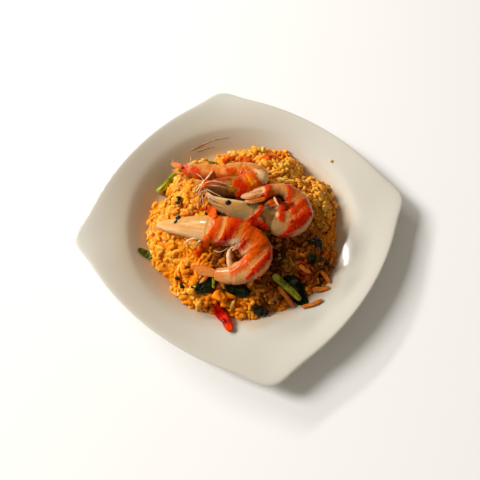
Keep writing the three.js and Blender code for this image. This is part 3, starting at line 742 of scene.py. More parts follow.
def makeGrains(name, kind, spots, normals):
    count = len(spots)
    (px, py, pz), faces = grainShapes(kind, count)
    aim = draw.standard_normal((count, 3))
    aim -= normals * (aim * normals).sum(1, keepdims=True)
    aim = unit(unit(aim) + normals * draw.uniform(-rice["tilt"], rice["tilt"], count)[:, None])
    side = unit(np.cross(normals, aim))
    top = np.cross(aim, side)
    heave, crack, clumpTone = clumpHeight(spots)
    heave = np.where(heave > 0, heave * rising(toppingRoom(spots), *rice["easing"]), heave)
    heave = np.where(np.hypot(*spots.T[:2]) > rice["heapReach"], 0, heave)
    heave = heave + draw.uniform(*rice["sink"], count)
    middle = spots + normals * heave[:, None]
    points = (middle[:, None] + aim[:, None] * px[..., None] + side[:, None] * py[..., None]
              + top[:, None] * pz[..., None])
    points[..., 2] += np.clip(rice["floor"] - points[..., 2].min(1), 0, None)[:, None]
    corners = px.shape[1]
    face = np.array([f if len(f) == 4 else (*f, -1) for f in faces])
    starts = (np.arange(count) * corners)[:, None, None]
    allFaces = np.where(face[None] < 0, -1, face[None] + starts).reshape(-1, 4)
    piece = fastMesh(name, points.reshape(-1, 3), allFaces)
    # the tone holds painted light on the window side and the back, and painted shade in the cracks between
    # clumps
    weigh, lit = rice["tone"], paleLitSide(spots)
    upper = rising(spots[:, 1], *rice["upper"]) * (1 - lit)
    tone = (weigh["usual"] + weigh["lit"] * lit + weigh["upper"] * upper + weigh["clump"] * clumpTone
            - (weigh["crack"] - weigh["litCrack"] * lit) * crack)
    tone = tone + draw.standard_normal(count) * (weigh["luck"] - weigh["litLuck"] * lit)
    colour = riceColour(spots, np.clip(tone, 0, 1), draw.normal(0, rice["tint"], count))
    writeColour(piece, "shade", np.repeat(colour, corners, axis=0))
    smoothShade(piece)
    return piece


def fastMesh(name, points, quads):
    # quads whose last corner is -1 are triangles
    mesh = bpy.data.meshes.new(name)
    sizes = np.where(quads[:, 3] < 0, 3, 4)
    loops = quads[quads >= 0]
    mesh.vertices.add(len(points))
    mesh.vertices.foreach_set("co", (points * mm).astype(np.float32).ravel())
    mesh.loops.add(len(loops))
    mesh.loops.foreach_set("vertex_index", loops.astype(np.int32))
    mesh.polygons.add(len(quads))
    mesh.polygons.foreach_set("loop_start", np.r_[0, np.cumsum(sizes)[:-1]].astype(np.int32))
    mesh.update(calc_edges=True)
    mesh.validate()
    return newPiece(name, mesh)


def riceMaterial(name, light=1.0):
    material, tree, shader, where = startMaterial(name, {
        "IOR": 1.4, "Specular IOR Level": 0.1, "Coat Weight": 0.24, "Coat Roughness": 0.08,
        "Subsurface Weight": 0.65, "Subsurface Radius": (0.9, 0.72, 0.36), "Subsurface Scale": 0.003})
    cloud = spread(tree, noiseOn(tree, where, 2.2, 2), 0.3, 0.7)
    mottle = blendColour(tree, cloud, [0.86 * light] * 3, [light] * 3)
    colour = blendColour(tree, 1.0, paintedColour(tree, "shade"), mottle, "MULTIPLY")
    speckle = spread(tree, noiseOn(tree, where, 0.9, 1), 0.68, 0.74, 0.0, 0.3)
    colour = blendColour(tree, speckle, colour, [c * 0.7 for c in riceShades["brown"]])
    dress(tree, shader, colour, oiled(tree, 180.0, 0.5, 0.22, 0.5), noiseOn(tree, where, 1.1, 2), 0.2, 0.2)
    return material


def nodeShape(names):
    # a search tree over the named solids, in millimetres
    points, faces = [], []
    for name in names:
        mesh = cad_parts[name].data
        start = len(points)
        points += [v.co / mm for v in mesh.vertices]
        faces += [[i + start for i in p.vertices] for p in mesh.polygons]
    return BVHTree.FromPolygons(points, faces)


def toppingRoom(points):
    return np.array([toppings.find_nearest(Vector(p))[3] for p in points])


def makeCore():
    core = newPiece("riceCore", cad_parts["rice_heap"].data.copy())
    core.data.name = "riceCore"
    core.data.materials.clear()
    editMesh(core, (bpy.ops.mesh.remove_doubles, {"threshold": 1e-6}),
             (bpy.ops.mesh.subdivide, {"number_cuts": 1, "smoothness": 0}))
    points = readPoints(core)
    normals = np.array([v.normal for v in core.data.vertices])
    pale = paleLitSide(points)
    lift, crack, clumpTone = clumpHeight(points)
    onPale, onDark = rice["coreDepth"]
    outward = lift - onDark + pale * (onDark - onPale)
    outward = outward[:, None] * np.clip(normals[:, 2:] * 2 + 1, 0, 1)
    room = toppingRoom(points)[:, None]
    points = points + normals * np.minimum(outward, room - rice["coreClearance"])
    writePoints(core, points)
    # painted light on the window side and painted shade in the cracks, as for the grains
    weigh = rice["coreTone"]
    tone = (weigh["usual"] + weigh["lit"] * pale + weigh["luck"] * roughen(points, 3, 5)
            - weigh["crack"] * crack)
    writeColour(core, "shade", riceColour(points, np.clip(tone, 0, 1), clumpTone))
    smoothShade(core)
    core.data.materials.append(riceMaterial("riceInTheShade", 0.9))
    return core


def makeRice():
    spots, normals = heapPlaces()
    order = draw.permutation(len(spots))
    kinds = {"long": "riceLongGrains", "short": "riceShortGrains",
             "egg": "eggCrumbs", "crumb": "riceCrumbs"}
    ends = np.cumsum([rice[kind]["share"] for kind in kinds]) * len(spots)
    grain = riceMaterial("friedRice")
    core = makeCore()
    pieces = [core]
    for (kind, name), chosen in zip(kinds.items(), np.split(order, ends[:3].astype(int))):
        at, up = spots[chosen], normals[chosen]
        if kind == "crumb":  # a few have strayed over the plate
            at = np.vstack([at, rice["scattered"]])
            up = np.vstack([up, np.tile([0, 0, 1.0], (len(rice["scattered"]), 1))])
        piece = makeGrains(name, rice[kind], at, unit(up))
        piece.data.materials.append(grain)
        pieces.append(piece)
    for piece in pieces:
        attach(piece, "root")
    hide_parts("rice_heap")
    print("rice:", len(spots), "grains")


draw = np.random.default_rng(rice["seed"])
toppings = nodeShape([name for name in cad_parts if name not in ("plate", "rice_heap")])
noise.seed_set(rice["seed"])
clumps = scatter(np.random.default_rng(4), rice["clumps"]["tries"], rice["clumps"]["apart"])[0]
clumpLuck = np.random.default_rng(6).uniform(-1, 1, len(clumps))
makeRice()

# prawns: a shell in plates, tail blades, eyes and legs, with sauce run over them
# spine and depth are the body's middle line and half its depth, in millimetres, from the head spike
# back is the side that the shell's back faces: 1 is left of the spine's run, -1 right of it
# height is the usual height of what its strokes lie on, where they run past its solid
# a stroke is (paint, how much, half width at its start and end, the points that it runs through), each
# point across and down in the camera's own view

prawns = {
    "prawn_front": {
        "name": "frontPrawn", "back": 1, "headShare": 0.36,
        "spine": [(-66, -1.5, 27), (-58, -5.8, 31), (-47.5, -10.2, 35.5), (-37, -14.4, 39),
                  (-28, -18.4, 41.5), (-19, -22, 43), (-10, -25.2, 43.5), (-3, -30.5, 43.5), (2, -37, 42.5),
                  (3.5, -43.7, 41), (0.5, -49.5, 39.5), (-6, -52.8, 37.5), (-14, -54.2, 36),
                  (-21, -53.2, 34.5), (-27.5, -50.5, 33)],
        "depth": [(0, 2.2), (0.08, 4.6), (0.18, 6.9), (0.27, 8.5), (0.36, 9.8), (0.44, 10.6), (0.51, 10.5),
                  (0.58, 10.9), (0.65, 11.1), (0.71, 10.9), (0.76, 9.7), (0.82, 8.5), (0.88, 7.4),
                  (0.94, 5.9), (1, 4.3)],
        "blades": [{"from": (-36.9, -12.9, 40), "tip": (-63.9, -2.2, 30), "width": 6.4, "share": 0.1},
                   {"from": (-36.2, -18.1, 37), "tip": (-62.1, -6.2, 29), "width": 6.6, "share": 0.1},
                   {"tip": (-45, -39.5, 28.5), "width": 6}, {"tip": (-41, -45, 29.5), "width": 5.5},
                   {"from": (-30.5, -48.5, 32), "tip": (-40, -53, 26), "width": 3},
                   {"from": (-24.5, -55, 31), "tip": (-23, -60.5, 27), "width": 2.4}],
        "legs": [[(-31.1, -19.6, 40), (-34.6, -24.3, 39), (-37.9, -27.2, 37.5), (-40.5, -29.3, 36)],
                 [(-34.5, -24, 40), (-38.8, -23.5, 39.5), (-43.3, -23.6, 38.5), (-47.3, -25, 36)],
                 [(-9.7, -34, 46), (-10.8, -36.5, 45), (-14.4, -36.6, 43), (-16.2, -38.3, 41.5)],
                 [(-12.2, -32, 46), (-9.3, -36.2, 45.5), (-13.9, -38.5, 42)]],
        "paddles": [[(-15, -37, 43), (-16.4, -40, 41), (-16.8, -44.4, 38.6), (-16.1, -49.6, 36.5)]],
        "hairs": [[(-34, -25.8, 40), (-38.5, -27.3, 39.5), (-42.8, -25.9, 38), (-46.9, -27, 35)],
                  [(-27.1, -33.9, 38), (-23.8, -36.2, 38.5), (-20.1, -36.2, 39), (-15.6, -35.1, 42)],
                  [(-17.6, -33.5, 41.5), (-14.5, -34.8, 46), (-11.7, -35.8, 48.2)],
                  [(-60, -7, 31), (-68, -5, 28.5), (-74, -1, 24)]],
        "eyes": [(-49.3, -3.9, 37.4), (-50.9, -7.6, 37.4)], "eyeSize": 2.2, "headGloss": 0.09,
        "head": (0.78, 0.42, 0.14), "tail": (0.58, 0.12, 0.010), "flesh": (0.66, 0.28, 0.075),
        "belly": (0.62, 0.40, 0.20),
        "height": 46,
        "strokes": [
            ("honey", 0.85, 2.6, 2.6, [(176, 217), (192, 217), (209, 218)]),
            ("tan", 0.7, 1.6, 1.4, [(164, 224), (176, 225), (189, 227)]),
            ("bark", 0.35, 0.4, 0.4, [(172, 224), (183, 222), (190, 221)]),
            # the shine strokes are painted highlights
            ("shine", 0.25, 0.5, 0.5, [(186, 226), (197, 222), (206, 222)]),
            ("cream", 0.7, 0.7, 0.5, [(172, 230), (186, 234), (202, 238)]),
            ("tan", 0.55, 0.5, 0.4, [(178, 221), (192, 224), (207, 225)]),
            ("tan", 0.5, 0.5, 0.4, [(180, 229), (194, 232), (209, 235)]),
            ("honey", 0.6, 0.8, 0.6, [(178, 226), (192, 228), (208, 230)]),
            ("cream", 0.7, 1.8, 2.4, [(163, 230), (178, 235), (196, 239)]),
            ("peach", 0.95, 2.6, 2.4, [(224, 217), (223, 226), (221, 235), (218, 242)]),
            ("glass", 0.85, 2.4, 2.6, [(241, 222), (237, 229), (233, 236)]),
            ("white", 0.95, 2.6, 3.2, [(224, 244), (232, 242), (238, 240), (238, 247)]),
            ("rust", 1, 6, 6.5, [(249, 225), (256, 236), (262, 248)]),
            ("amber", 0.8, 2.2, 2.2, [(263, 236), (268, 245), (270, 253)]),
            ("amber", 0.9, 2.6, 2.2, [(244, 223), (241, 230), (238, 235)]),
            ("salmon", 0.9, 1.6, 1.6, [(255, 245), (249, 248), (243, 254)]),
            ("salmon", 0.95, 1.7, 2, [(265, 251), (258, 260), (250, 269), (243, 276)]),
            ("flesh", 1, 3.8, 4.2, [(222, 276), (234, 277), (246, 276), (252, 280)]),
            ("orangeShell", 0.9, 2.2, 2, [(190, 265), (203, 265), (216, 268)]),
            ("rust", 0.7, 1, 0.9, [(196, 265), (203, 266), (210, 268)]),
            ("salmon", 0.95, 2.6, 2.6, [(198, 270), (209, 272), (221, 276)]),
            ("orangeShell", 0.7, 1.4, 1.2, [(229, 262), (231, 268), (236, 270)]),
            ("tangerine", 1, 3.6, 3.8, [(206, 209), (213, 213), (218.5, 220), (215, 230), (209, 239),
                                        (203, 247), (193, 257)]),
            ("scarlet", 0.9, 1.8, 1.3, [(205, 209), (211, 210), (214, 212)]),
            ("scarlet", 0.75, 1.2, 1.4, [(215, 230), (209, 240), (202, 248)]),
            ("tangerine", 1, 3.6, 3, [(231.5, 216), (230, 226), (225, 235)]),
            ("scarlet", 1, 3.2, 2.4, [(239, 218), (235, 226), (230, 234), (222, 241), (214, 247)]),
            ("peach", 0.85, 1.2, 1, [(225, 217), (223.5, 226), (219, 236)]),
            ("crimson", 0.95, 1.9, 1.6, [(233, 229), (228, 237), (221, 242), (214, 246)]),
            ("tangerine", 0.75, 2.4, 1.6, [(251, 224), (247, 233), (241, 241)]),
            ("scarlet", 0.6, 1.9, 1.5, [(246, 226), (253, 229), (260, 232)]),
            ("tangerine", 0.6, 2.4, 2, [(260, 232), (256, 242), (248, 249)]),
            # dark red sauce, partly painted shade at the end of the band
            ("crimson", 1, 2.3, 1.7, [(245, 242), (240, 248), (234, 255)]),
            ("tangerine", 1, 3, 2, [(263, 240), (256, 250), (248, 259), (240, 267), (232, 273)]),
            ("scarlet", 1, 2.4, 2.2, [(272, 247), (268, 255), (261, 263), (254, 271), (248, 278)]),
            ("crimson", 0.6, 1.2, 1.2, [(273, 251), (268, 260), (258, 270)]),
            # shine strokes: painted highlights along the edges of the sauce bands
            ("shine", 0.5, 0.4, 0.35, [(201, 245), (205, 236), (209, 230), (212, 226)]),
            ("shine", 0.4, 0.4, 0.3, [(218, 240), (221, 236), (223, 231)]),
            ("shine", 0.5, 0.6, 0.45, [(245, 252), (250, 247), (258, 242)]),
            ("shine", 0.35, 0.35, 0.3, [(235, 250), (240, 244), (246, 239)]),
            ("shine", 0.45, 0.4, 0.35, [(251, 268), (257, 262), (266, 253)]),
            ("shine", 0.4, 0.35, 0.35, [(246, 275), (251, 271)]),
            ("white", 0.5, 0.6, 0.5, [(236, 240), (239, 243), (235, 246)]),
            ("crimson", 0.9, 0.6, 0.6, [(226, 248), (232, 246), (235, 243)]),
        ],
    },
    "prawn_middle": {
        "name": "middlePrawn", "back": -1, "headShare": 0.36,
        "spine": [(-27, 14, 44), (-23.3, 5, 45.5), (-17.8, -1.2, 46.5), (-9, -7.1, 47), (0.6, -11.5, 47),
                  (9, -15.9, 46.5), (16.8, -20.2, 45.5), (25, -23.8, 44), (33.6, -22.8, 42.5),
                  (39.9, -16.4, 41.5), (40.9, -7.9, 41.5), (37.2, -0.8, 43), (31, 3.1, 45), (22.6, 3.7, 47),
                  (15, 1.3, 48.5)],
        "depth": [(0, 0.6), (0.08, 2.5), (0.14, 4.7), (0.23, 6.8), (0.31, 7.4), (0.39, 8.1), (0.46, 8.7),
                  (0.53, 9.4), (0.6, 9.9), (0.67, 9.5), (0.74, 8.1), (0.81, 6.6), (0.87, 5.5), (0.94, 4.9),
                  (1, 4.6)],
        "blades": [{"from": (17.5, 2.4, 48), "tip": (-1.8, 0.6, 48.5), "width": 7.4},
                   {"from": (16.9, -2.1, 47), "tip": (0.6, -2.9, 47.6), "width": 5.6},
                   {"from": (18.5, 6, 48), "tip": (5, 3.2, 49.3), "width": 5.6},
                   {"from": (15, -10, 47.5), "tip": (28, -4, 46), "width": 7.5, "share": 0.7},
                   {"from": (21, -15, 47), "tip": (32, -7, 45.5), "width": 7.5, "share": 0.7},
                   {"from": (37, -12, 46), "tip": (26, -8, 45.5), "width": 7, "share": 0.7}],
        "legs": [[(22.5, -2.6, 48), (23.3, -6.2, 48), (25.4, -11.6, 46.5)],
                 [(-16.2, -3.6, 46.5), (-21.1, -0.9, 46), (-24.2, 4.2, 45.5)],
                 [(-18.4, 1.8, 47.5), (-22.4, 5.3, 47), (-26.3, 10.9, 46)]],
        "hairs": [[(-26.2, 11.8, 46.5), (-30.9, 11.4, 44), (-34.5, 8.5, 41)],
                  [(-25.5, 10.8, 46.5), (-30.6, 7.6, 43), (-32.2, 2.6, 40)],
                  [(-25.4, 12, 46), (-28.8, 9.6, 45), (-29.6, 3.6, 43.5), (-28.2, -2, 41)],
                  [(-26.1, 13, 46), (-24.6, 6.9, 45.5), (-23.1, 0.9, 45), (-22.9, -2.9, 44)],
                  [(-18.4, 1.8, 48), (-22.4, 5.3, 47.5), (-26.3, 10.9, 46.5), (-28.1, 15.7, 45)],
                  [(-20.3, -1, 47.5), (-23.6, 2.3, 47), (-26.6, 8.6, 46)],
                  [(-17, -2, 49.5), (-22, 2, 48), (-26, 11, 46)]],
        "eyes": [(-11.7, -4.4, 50.9), (-15.4, -10.2, 46)], "eyeSize": 2.35, "headGloss": 0.2,
        "head": (0.34, 0.17, 0.06), "tail": (0.46, 0.15, 0.03), "flesh": (0.44, 0.23, 0.085),
        "belly": (0.36, 0.19, 0.07),
        "height": 49,
        "strokes": [
            ("cream", 0.9, 1.7, 1.6, [(207, 192), (220, 198), (234, 200), (247, 201)]),
            ("tan", 0.8, 2.6, 2.6, [(218, 203), (238, 206)]),
            # painted shade along the underside of the head, where it lies over the front prawn
            ("oliveTan", 0.8, 2.2, 2.6, [(227, 206), (240, 209)]),
            ("soot", 0.7, 0.5, 0.4, [(209, 198), (217, 203)]),
            ("soot", 0.6, 0.5, 0.4, [(211, 204), (222, 208)]),
            ("bark", 0.6, 0.5, 0.4, [(212, 201), (224, 205)]),
            ("oliveTan", 0.9, 3.2, 3.4, [(246, 206), (256, 210)]),
            # painted shade along the underside of the head
            ("greyOlive", 0.9, 2.4, 2.4, [(234, 213), (245, 215), (253, 219)]),
            ("soot", 0.9, 1, 0.9, [(248, 204), (259, 206)]),
            ("bark", 1, 2.8, 2.8, [(263, 214), (265, 224), (268, 230)]),
            ("moss", 0.95, 3.2, 3, [(268, 212), (271, 221)]),
            ("greyFlesh", 0.95, 3.8, 4, [(276, 225), (280, 231), (290, 235)]),
            ("flesh", 0.9, 3, 3, [(311, 221), (307, 230), (297, 236)]),
            ("amber", 0.9, 2.6, 2.4, [(296, 189), (299, 197), (303, 204)]),
            ("peach", 0.8, 2.6, 2.4, [(273, 185), (280, 186), (285, 190)]),
            ("slate", 0.95, 2, 2, [(267, 205), (273, 209)]),
            # the maroon stroke is partly the shell's own dark red and partly painted shade, in the hollow
            # of the ring
            ("maroon", 1, 3.4, 3.4, [(279, 199), (284, 206), (291, 206)]),
            ("rust", 1, 2.8, 2.8, [(272, 193), (272, 203)]),
            ("vermilion", 1, 3.8, 2.8, [(268, 182), (267, 190), (264, 197)]),
            ("scarlet", 1, 1.7, 2.2, [(263, 196), (262, 205), (258, 213), (252, 219), (247, 223)]),
            ("crimson", 1, 2.4, 2.8, [(253, 218), (257, 223), (264, 227)]),
            ("vermilion", 0.95, 2.6, 2.4, [(289, 186), (291, 193), (288, 200)]),
            ("scarlet", 1, 2.8, 2.8, [(283, 209), (281, 218)]),
            ("brick", 1, 3, 2.8, [(304, 203), (298, 207), (293, 212)]),
            ("scarlet", 1, 3.6, 2.8, [(310, 212), (303, 219), (295, 226), (288, 233), (282, 237)]),
            ("crimson", 0.9, 2.2, 2, [(303, 217), (299, 221), (291, 223)]),
            ("scarlet", 0.6, 1.4, 1.4, [(309, 209), (303, 213), (296, 218)]),
            ("blush", 1, 2.9, 2.3, [(262, 190), (254, 191.5), (245, 195.5), (241, 198)]),
            ("orangeShell", 1, 1.5, 1.2, [(262, 199), (254, 199.5), (248, 200.5)]),
            ("blush", 0.85, 0.6, 0.5, [(259, 203), (252, 203), (243, 200.5)]),
            # shine strokes: painted glints on the wet sauce
            ("shine", 0.9, 0.9, 0.7, [(277, 213.5), (277, 216)]),
            ("shine", 0.5, 0.5, 0.5, [(290, 210.5), (290, 212)]),
            ("shine", 0.6, 0.4, 0.4, [(250, 217), (255, 213), (259, 209)]),
            ("soot", 0.8, 0.5, 0.5, [(250, 204.5), (254, 203.5), (259, 205)]),
            ("soot", 0.8, 0.6, 0.5, [(249, 205.5), (254, 208), (259, 208)]),
        ],
    },
    "prawn_back": {
        "name": "backPrawn", "back": -1, "headShare": 0.33,
        "spine": [(-28, 20, 40), (-20, 16, 43), (-11, 13, 45), (-1.5, 11.5, 45.5), (9, 13.5, 45.5),
                  (13.5, 19.5, 44.5), (3, 26.5, 42), (-12, 30, 39.5), (-25, 35.5, 36), (-40, 43.5, 31)],
        "depth": [(0, 2.5), (0.08, 6), (0.18, 8.2), (0.3, 8.4), (0.45, 8.8), (0.58, 8.2), (0.7, 6.4),
                  (0.85, 6), (0.95, 5.6), (1, 3.6)],
        "blades": [{"from": (-41.6, 42.2, 34), "tip": (-50.7, 51.6, 31), "width": 5.4},
                   {"from": (-42.3, 36.4, 33), "tip": (-50.5, 45, 30.5), "width": 2.6}],
        "legs": [[(-18.8, 29.6, 44), (-24.2, 23.4, 43.5), (-28.7, 18.3, 42.5), (-32.5, 13.3, 40)],
                 [(-22.5, 24.6, 44), (-27.6, 20.6, 43), (-31.1, 17.2, 42), (-33.8, 15, 40.5)]],
        "hairs": [[(-26.2, 19, 45), (-19.4, 16.6, 49.8), (-12.5, 12.2, 51.5), (-6.4, 7.9, 52)],
                  [(-26.1, 13.3, 45.5), (-20.7, 7, 48.6), (-15.4, 2.3, 49.2)],
                  [(-26.7, 21.6, 44), (-29.2, 27.2, 43), (-31.9, 31.3, 41)],
                  [(-35.6, 21.4, 38), (-33.7, 23.1, 40.5), (-29.7, 23.4, 42), (-24.5, 21.1, 43.5)],
                  [(-35.2, 17.7, 38), (-32.4, 20.2, 40.5), (-28.5, 20.5, 42), (-25.4, 20.2, 43)],
                  [(-22, 15, 47), (-17, 12, 49.5), (-12, 9.5, 50.6)],
                  [(-49.5, 48.9, 30), (-49.1, 58, 27), (-48.6, 60.7, 26)],
                  [(-35, 44.9, 34), (-34.6, 51.9, 31), (-33.8, 58, 28)],
                  [(-44.9, 34.5, 33), (-47, 31.4, 31), (-46.8, 27, 29)]],
        "eyes": [], "eyeSize": 2.0, "headGloss": 0.02,
        # the dark head colour is partly the head's own brown and partly painted shade
        "head": (0.14, 0.045, 0.012), "tail": (0.58, 0.15, 0.015), "flesh": (0.62, 0.26, 0.06),
        "belly": (0.30, 0.10, 0.025),
        "height": 46,
        "strokes": [
            # the bark strokes, and the soot ones below, are partly the head's own dark brown and partly
            # painted shade
            ("bark", 1, 4.6, 4, [(204, 186), (215, 184), (226, 180), (233, 175)]),
            ("bark", 1, 4.2, 3.8, [(205, 191), (217, 193), (226, 195), (235, 196)]),
            ("rust", 0.5, 2.4, 2.4, [(207, 184), (219, 182), (231, 176)]),
            ("tan", 0.9, 2.8, 2.8, [(200, 172), (212, 174)]),
            ("tan", 0.55, 1.4, 1.2, [(228, 182), (234, 185)]),
            ("tan", 0.45, 0.5, 0.4, [(219, 182), (226, 183), (232, 184)]),
            ("tan", 0.25, 0.5, 0.4, [(222, 187), (229, 188), (233, 190)]),
            ("tan", 0.35, 0.6, 0.5, [(207, 189), (213, 193), (219, 196)]),
            ("olive", 1, 2.8, 2.8, [(233, 172), (235, 181), (232, 188)]),
            # this cream end is partly the flesh's own pale colour and partly painted light, on a side that
            # faces away from the window; the shine over it is a painted highlight
            ("cream", 1, 3.4, 3.6, [(256, 174), (263, 176), (270, 180)]),
            ("shine", 0.7, 1.6, 1.6, [(256, 172), (262, 175), (266, 181)]),
            ("orangeShell", 1, 2.4, 2.2, [(213, 170), (221, 171)]),
            ("rust", 0.85, 2, 2, [(204, 175), (214, 176), (228, 177)]),
            ("peach", 0.9, 1.8, 1.6, [(223, 171), (226, 172)]),
            ("vermilion", 0.95, 2.3, 2.3, [(228, 170), (233, 171)]),
            ("vermilion", 1, 3, 3, [(184, 162), (184, 170), (186, 178)]),
            ("scarlet", 0.9, 1.7, 1.7, [(182, 176), (187, 178), (191, 180)]),
            ("vermilion", 1, 2.8, 2.6, [(192, 169), (198, 172), (196, 177)]),
            ("vermilion", 0.8, 1.3, 1.2, [(213, 172), (208, 180), (203, 187)]),
            ("amberSauce", 1, 4.6, 5, [(244, 173), (250, 176), (253, 183), (248, 190)]),
            ("yolk", 0.8, 2.2, 2, [(247, 178), (252, 183)]),
            ("scarlet", 1, 3.6, 3.4, [(238, 183), (243, 188), (240, 195)]),
            # a painted highlight on the sauce
            ("shine", 0.6, 0.5, 0.5, [(252, 180), (255, 182)]),
            ("soot", 0.45, 0.7, 0.6, [(218, 193), (226, 196), (234, 197)]),
            ("soot", 0.7, 0.7, 0.5, [(207, 187), (214, 190)]),
        ],
    },
}

slant = np.array([0.0698, 0.4382, -0.8962])  # the way sauce was drizzled
seenDepth = 17  # a stroke marks nothing further than this behind its own line

paints = {
    "cream": (0.90, 0.58, 0.26), "white": (0.48, 0.35, 0.22), "flesh": (0.64, 0.31, 0.11),
    "greyFlesh": (0.42, 0.25, 0.10), "peach": (0.80, 0.32, 0.08), "tan": (0.60, 0.28, 0.08),
    "amber": (0.54, 0.15, 0.012), "glass": (0.42, 0.22, 0.06), "rust": (0.56, 0.075, 0.004),
    "orangeShell": (0.70, 0.17, 0.018), "oliveTan": (0.36, 0.20, 0.06), "greyOlive": (0.30, 0.19, 0.07),
    "olive": (0.38, 0.13, 0.006), "slate": (0.05, 0.05, 0.035), "maroon": (0.16, 0.008, 0.003),
    "bark": (0.10, 0.030, 0.008), "soot": (0.022, 0.018, 0.012),
    # shine is a painted highlight
    "blush": (0.90, 0.45, 0.22), "shine": (1.0, 0.66, 0.34),
    "honey": (0.62, 0.29, 0.07), "salmon": (0.62, 0.20, 0.04), "moss": (0.17, 0.075, 0.018),
}
saucePaints = {
    "tangerine": (0.66, 0.078, 0.001), "vermilion": (0.58, 0.040, 0.001), "scarlet": (0.55, 0.020, 0.001),
    "brick": (0.42, 0.024, 0.001), "crimson": (0.33, 0.005, 0.001), "amberSauce": (0.62, 0.080, 0.001),
    "yolk": (0.84, 0.24, 0.006),
}


def strokeLine(shape, seen, usual):
    # the places, in millimetres, where points of the camera's view lie on a solid; one that misses the
    # solid is taken to be as high as the nearest one that doesn't, or of the usual height
    right, up, eye = [np.array(cameraView[key]) for key in ("right", "up", "place")]
    scale = cameraView["lens"] / cameraView["sensor"] * cameraView["pixels"]
    off = (np.array(seen) - cameraView["pixels"] / 2) / scale
    ways = np.cross(up, right) + off[:, :1] * right - off[:, 1:] * up
    hits = [shape.ray_cast(Vector(eye), Vector(way))[0] for way in ways]
    line = []
    for i, (way, hit) in enumerate(zip(ways, hits)):
        near = [(abs(i - j), other.z) for j, other in enumerate(hits) if other is not None]
        height = min(near)[1] if near else usual
        line.append(eye + way * (height - eye[2]) / way[2] if hit is None else hit)
    return np.round(line, 1)


def drawnOver(points, line, wideStart, wideEnd):
    # how far each point is inside a band along the line, seen along the slant, in millimetres
    depth, level = line @ slant, points @ slant
    flat, here = line - depth[:, None] * slant, points - level[:, None] * slant
    best = np.full(len(points), -99.0)
    count = len(line) - 1
    for i in range(count):
        run = flat[i + 1] - flat[i]
        t = np.clip(((here - flat[i]) @ run) / max(run @ run, 1e-9), 0, 1)
        gap = np.linalg.norm(here - flat[i] - t[:, None] * run, axis=1)
        inside = wideStart + (wideEnd - wideStart) * (i + t) / count - gap
        inside[level - depth[i] - t * (depth[i + 1] - depth[i]) > seenDepth] = -99
        best = np.maximum(best, inside)
    return best


strokeEdge = {
    "wetSoft": 3.4, "drySoft": 2.6, "perWidth": 1.7,  # how softly sauce and other paints end
    "coarse": 1.0, "coarseSize": 4.2, "fine": 1.1, "fineSize": 1.7,  # how ragged, in millimetres
    "facing": (-0.12, 0.18),  # sauce lies only on what faces the way that it was drizzled from
    "thin": 0.15, "lift": 0.5, "lumps": 0.35, "lumpSize": 1.9,  # its layer on the shell
}


def paintSauce(piece, spec, seed, shape, bodyPoints):
    # lays the strokes over one another, and lifts the sauce off the shell where it lies
    points = readPoints(piece)
    flat = np.empty(len(points) * 3, np.float32)
    piece.data.vertices.foreach_get("normal", flat)
    normals = flat.reshape(-1, 3).astype(float)
    edge, count = strokeEdge, len(points)
    facing = rising(-(normals @ slant), *edge["facing"])
    ragged = (edge["coarse"] * roughen(points, edge["coarseSize"], seed)
              + edge["fine"] * roughen(points, edge["fineSize"], seed + 9))
    sauce, cover, shellColour = np.zeros(count), np.zeros(count), np.zeros((count, 3))
    sauceColour = np.tile(saucePaints["tangerine"], (count, 1))
    for paint, much, start, end, seen in spec["strokes"]:
        wet = paint in saucePaints
        soft = min(edge["wetSoft"] if wet else edge["drySoft"], edge["perWidth"] * start)
        inside = drawnOver(points, strokeLine(shape, seen, spec["height"]), start, end)
        band = np.clip((inside + ragged * min(1, start / 3)) / soft + 0.5, 0, 1) * much
        part = band[:, None]
        if wet:
            sauceColour = sauceColour * (1 - part) + part * np.array(saucePaints[paint])
            band = band * facing
            sauce = sauce * (1 - band) + band
        else:
            shellColour = shellColour * (1 - part) + part * np.array(paints[paint])
            cover = cover * (1 - band) + band
            sauce = sauce * (1 - band)
    lumps = edge["lift"] + edge["lumps"] * roughen(points, edge["lumpSize"], seed + 4)
    layer = rising(sauce, edge["thin"], 1) * (np.arange(count) < bodyPoints)
    writePoints(piece, points + normals * (layer * lumps)[:, None])
    writeValue(piece, "sauce", sauce)
    writeValue(piece, "cover", cover)
    writeColour(piece, "shellPaint", shellColour / np.maximum(cover, 1e-3)[:, None])
    writeColour(piece, "saucePaint", sauceColour)


shellLook = {
    "fine": 1.3, "mottle": 5.5, "pools": 3.2, "grit": 0.9,  # the sizes of its markings
    "gloss": 0.7, "sauceRelief": 0.6, "lineRelief": 0.5,  # the sauce stands up off the shell
    "headDark": 0.80, "headLight": 1.04, "grooveDark": 0.6,
    "streaks": ((0.80, 0.76, 0.72), (1.0, 1.0, 1.0)),
    "uneven": ((0.94, 0.84, 0.84), (1.03, 1.14, 1.1)),  # how thin and thick sauce change its paint
    "beads": (0.88, 0.30, 0.03),  # crushed chilli and drops of oil
}


